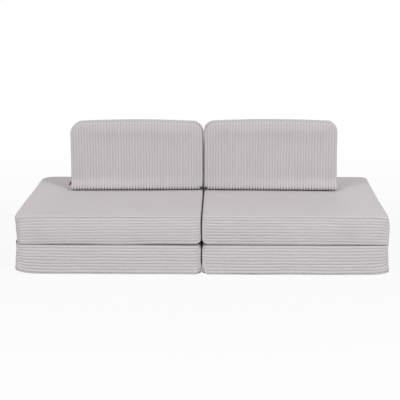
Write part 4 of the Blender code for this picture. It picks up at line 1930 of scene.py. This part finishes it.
    def walk(self, places: Grid, sides: Sequence[float], runs: Sequence[float],
             arcs: Sequence[float]) -> GridPair:
        """Points of the rounded outline by their distance along it, from the start of the bottom side.

        Args:
            places: The distances.
            sides: Where the bottom, right, top and left sides lie.
            runs: The lengths of the sides' straight parts.
            arcs: The lengths of the corners' arcs.

        Returns:
            Their places across and up.
        """
        bottom, right, top, left = sides
        radii = self.cover.radii
        starts = [(left + radii[0], bottom), (right, bottom + radii[1]), (right - radii[2], top),
                  (left, top - radii[3])]
        points = np.zeros((len(places), 2))
        done = 0.0
        for k, (start, way) in enumerate(zip(starts, ((1, 0), (0, 1), (-1, 0), (0, -1)))):
            way, inward = np.array(way), np.array((-way[1], way[0]))
            step = places - done
            here = (step >= 0) & (step < runs[k] + TINY)
            points = np.where(here[:, None], start + way * step[:, None], points)
            done += runs[k]
            radius, arc = radii[(k + 1) % 4], arcs[(k + 1) % 4]
            step = places - done
            here = (step >= 0) & (step < arc)
            angle = (step / max(radius, TINY))[:, None]
            centre = start + way * runs[k] + inward * radius
            arm = way * np.sin(angle) - inward * np.cos(angle)
            points = np.where(here[:, None], centre + arm * radius, points)
            done += arc
        return points[:, 0], points[:, 1]


# Small cloth pieces


@dataclass
class HingeStrip:
    """The cloth hinge over the outer seam of one folded mat."""

    side: Side
    beads: BeadRow
    waist: float = 0.0016
    waves: Sequence[Point] = ((0.0004, 31.0, 0.0), (0.0003, 77.0, 1.3))
    lines: tuple[int, int] = (13, 150)
    stitch_inset: float = 0.0022
    end_gap: float = 0.002
    bend_inset: float = 0.003

    def build(self) -> None:
        """Builds the strip and its two rows of stitches."""
        side = self.side.name.lower()
        name = f"{side}_hinge_strip"
        low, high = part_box(name)
        sign = self.side.value
        outer = self.side.pick(low.x, high.x)
        width = high.z - low.z
        up = np.linspace(0.0, 1.0, self.lines[0])[:, None]
        along = np.linspace(low.y, high.y, self.lines[1])[None]
        wave = sum(height * np.sin(along * turn + start) for height, turn, start in self.waves)
        bow = self.waist * np.sin(math.pi * up) ** 2 + np.abs(wave) * np.sin(math.pi * up)
        points = np.stack(np.broadcast_arrays(outer - sign * bow, along, low.z + up * width), axis=-1)
        inner = points - ACROSS * (sign * (high.x - low.x))
        strip = Cloth.smooth(points, up * width, along - low.y).shell(f"{side}_cloth_hinge", inner)
        strip.data.materials.append(VELOUR.build())
        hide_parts(name)
        ends = (low.y + self.end_gap, high.y - self.end_gap)
        rows = bead_lines(f"{side}_hinge_stitches",
                          [tuple((outer, y, z) for y in ends)
                           for z in (low.z + self.stitch_inset, high.z - self.stitch_inset)], ACROSS * sign)
        self.beads.sew(rows, HINGE_STITCH, SEWING)
        start, end = (outer, 0.0, high.z - self.bend_inset), (outer, 0.0, low.z + self.bend_inset)
        for piece in (strip, rows):
            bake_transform(piece)
            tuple(start)
            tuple(end)
        log.info("hinge strip %s", side)


@dataclass
class SideTag:
    """The blank tag in the front seam of the left cushion: a folded strip that droops a little."""

    node: str = "left_cushion_tag"
    body: str = "left_cushion"
    droop: float = 0.006
    droop_power: float = 1.3
    thickness: float = 0.0008
    curl: float = 0.0006
    slant: float = 0.5
    splay: Pair = (1.8, 0.7)
    lines: tuple[int, int] = (10, 12)

    def build(self) -> None:
        """Builds the tag as a thin folded sheet with a rounded fold at its end."""
        low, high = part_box(self.node)
        u, o = (np.linspace(0.0, 1.0, count) for count in self.lines)
        o, u = np.broadcast_arrays(o[None], u[:, None])
        length_x, length_y = high.x - low.x, high.y - low.y
        height = high.z - low.z - self.droop
        curl = self.curl * np.sin(math.pi * o) * (1 + u)
        start = self.slant * (1 - u)
        free = start + o * (1 - start)
        splay = self.splay[0] - self.splay[1] * u
        x = high.x - length_x * free * splay + curl
        y = low.y + length_y * free - curl
        z = high.z - height * (1 - u) - self.droop * (free**self.droop_power)
        points = np.stack([x, y, z], axis=-1)
        face = np.array([length_y, length_x, 0.0])
        face /= np.linalg.norm(face)
        rounding = np.sqrt(np.clip(1.02 - o[..., None] ** 6, 0.1, 1.0))
        cloth = Cloth.smooth(points, u * height, o * math.hypot(length_x, length_y))
        piece = cloth.shell("left_cushion_side_tag", points + face * self.thickness * rounding)
        piece.data.materials.append(TAG_CLOTH.build())
        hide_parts(self.node)
        length = float(np.hypot(length_x * splay, length_y).mean() * (1 - free[:, 0]).mean())
        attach(piece, self.body)
        log.info("side tag")


# Studio


@dataclass
class Studio:
    """A plain pale floor, soft light, and the camera at the photograph's place."""

    WHITE = (1.0, 1.0, 1.0, 1.0)
    LAMPS = (
        ("right lamp", (3.7, -4.8, 5.1), 1.6, 246.0),
        ("left lamp", (-3.5, -4.6, 5.0), 2.4, 178.0),
        ("rear lamp", (0.6, 6.0, 1.9), 2.4, 70.0),
    )

    eye: Point = (0.096, -5.131, 1.449)
    pitch: float = 13.35
    yaw: float = 1.235
    roll: float = -0.15
    focal: float = 1156.3
    sensor: float = 36.0
    clip: Pair = (0.1, 60.0)
    aim: Point = (0.0, 0.0, 0.25)
    sky: float = 0.47
    floor_colour: Colour = (0.68, 0.68, 0.68)
    floor_size: float = 14.0
    floor_drop: float = 0.0005
    floor_depth: float = 0.6
    fade_span: Pair = (0.9, 2.6)
    fade_ends: Pair = (0.89, 1.0)

    def build(self) -> None:
        """Builds the floor, the sky, the lamps and the camera."""
        self.floor()
        self.world()
        for name, place, size, power in self.LAMPS:
            self.lamp(name, place, size, power)
        self.camera()
        bpy.context.scene.view_settings.view_transform = "Standard"
        log.info("studio")

    def floor(self) -> None:
        """A wide pale floor that shows nearly white to the camera and keeps the object's shadow."""
        mesh = bpy.data.meshes.new("floor")
        corners = np.array([(-1, -1, 0), (1, -1, 0), (1, 1, 0), (-1, 1, 0)]) * self.floor_size
        mesh.from_pydata(corners.tolist(), [], [(0, 1, 2, 3)])
        plane = linked("floor", mesh)
        plane.location.z = -self.floor_drop
        material = bpy.data.materials.new("floor")
        material.use_nodes = True
        maker = NodeMaker(material.node_tree)
        shader = material.node_tree.nodes["Principled BSDF"]
        for key, value in (("Base Color", (*self.floor_colour, 1.0)), ("Roughness", 1.0),
                           ("Specular IOR Level", 0.0)):
            maker.feed(shader.inputs[key], value)
        glow = maker.flow("ShaderNodeEmission", {}, {"Color": self.WHITE, "Strength": 1.0})
        x, y, _ = maker.parts(Finish.place(maker))
        away = (x * x * self.floor_depth + y * y) ** 0.5
        seen = self.seen(maker) * maker.spread(away, self.fade_span, self.fade_ends)
        both = maker.flow("ShaderNodeMixShader", {}, {0: seen, 1: Flow(maker, shader.outputs[0]), 2: glow})
        maker.feed(material.node_tree.nodes["Material Output"].inputs["Surface"], both)
        mesh.materials.append(material)

    @staticmethod
    def seen(maker: NodeMaker) -> Flow:
        """1 for rays from the camera, or through gloss or glass, and 0 for the rest."""
        path = maker.node("ShaderNodeLightPath", {}, {})
        names = ("Is Camera Ray", "Is Glossy Ray", "Is Transmission Ray")
        camera, gloss, glass = (Flow(maker, path.outputs[name]) for name in names)
        return maker.maths("MINIMUM", camera + gloss + glass, 1.0)

    def world(self) -> None:
        """An even sky, white where it is seen."""
        world = bpy.data.worlds.new("sky")
        world.use_nodes = True
        bpy.context.scene.world = world
        maker = NodeMaker(world.node_tree)
        background = world.node_tree.nodes["Background"]
        maker.feed(background.inputs["Color"], self.WHITE)
        maker.feed(background.inputs["Strength"], self.seen(maker) * (1.0 - self.sky) + self.sky)

    def lamp(self, name: str, place: Point, size: float, power: float) -> None:
        """A square soft light that faces the seat.

        Args:
            name: Its name.
            place: Where it stands.
            size: The length of its side.
            power: Its power in watts.
        """
        light = bpy.data.lights.new(name, "AREA")
        light.shape, light.size, light.energy = "SQUARE", size, power
        lamp = linked(name, light)
        lamp.location = place
        lamp.rotation_euler = (Vector(self.aim) - Vector(place)).to_track_quat("-Z", "Y").to_euler()

    def camera(self) -> None:
        """The camera, fitted to the sofa's outline in the photograph."""
        data = bpy.data.cameras.new("camera")
        data.sensor_width = self.sensor
        data.lens = self.focal / PHOTO_SIZE * data.sensor_width
        data.clip_start, data.clip_end = self.clip
        eye = linked("camera", data)
        eye.location = self.eye
        aim = Euler((math.radians(90 - self.pitch), 0.0, math.radians(self.yaw))).to_matrix()
        eye.rotation_euler = (aim @ Matrix.Rotation(math.radians(self.roll), 3, "Z")).to_euler()
        bpy.context.scene.camera = eye


def mat_forms() -> dict[tuple[Side, Storey], dict[str, Any]]:
    """What sets the four mat halves apart: their corners, their sag, and how their seams lift.

    Returns:
        The fields that each half has of its own.
    """
    flat, notch, rear = Lift(), Lift(0.012, 0.0072, 2.4, 4.0), Lift(0.016)
    sink = replace(notch, height=-notch.height)
    return {
        (Side.LEFT, Storey.LOWER): {
            "low_lifts": (Lift(0.031, 0.031), Lift(0.03, 0.0098, 2.0, 2.0), rear, rear),
            "high_lifts": (flat, sink, sink, flat),
            "drop": 0.0035, "slack": -0.0012,
        },
        (Side.LEFT, Storey.UPPER): {
            "low_lifts": (flat, notch, notch, flat),
            "high_lifts": (Lift(-0.01, 0.034, 1.5), flat, flat, flat),
            "corner": 0.031, "rear_corner": 0.06, "outer_top": 0.0015, "rear_skew": 0.009,
            "slack": 0.0015, "slant": 0.5,
        },
        (Side.RIGHT, Storey.LOWER): {
            "low_lifts": (Lift(0.028, 0.0098, 2.0, 2.0), Lift(0.027, 0.024), rear, rear),
            "high_lifts": (sink, flat, flat, sink),
            "drop": 0.0045,
        },
        (Side.RIGHT, Storey.UPPER): {
            "low_lifts": (notch, flat, flat, notch),
            "high_lifts": (flat, Lift(-0.009, 0.024, 1.5), flat, flat),
            "corner": 0.014, "outer_top": 0.0105, "outer_draw": 0.0035, "rear_skew": 0.003,
            "slack": -0.0012, "slant": 0.35, "slant_power": 4.0,
        },
    }


def main() -> None:
    """Builds the sofa piece by piece, then the studio round it."""
    logging.basicConfig(level=logging.INFO, format="%(name)s: %(message)s")
    wales, beads = Wales("wales"), BeadRow("bead row")
    forms = mat_forms()
    for side in Side:
        for storey in Storey:
            Mat(side, wales, beads, storey, **forms[side, storey]).build()
        HingeStrip(side, beads).build()
        Cushion(side, wales, beads).build()
    SideTag().build()
    Studio().build()


if __name__ == "__main__":
    main()
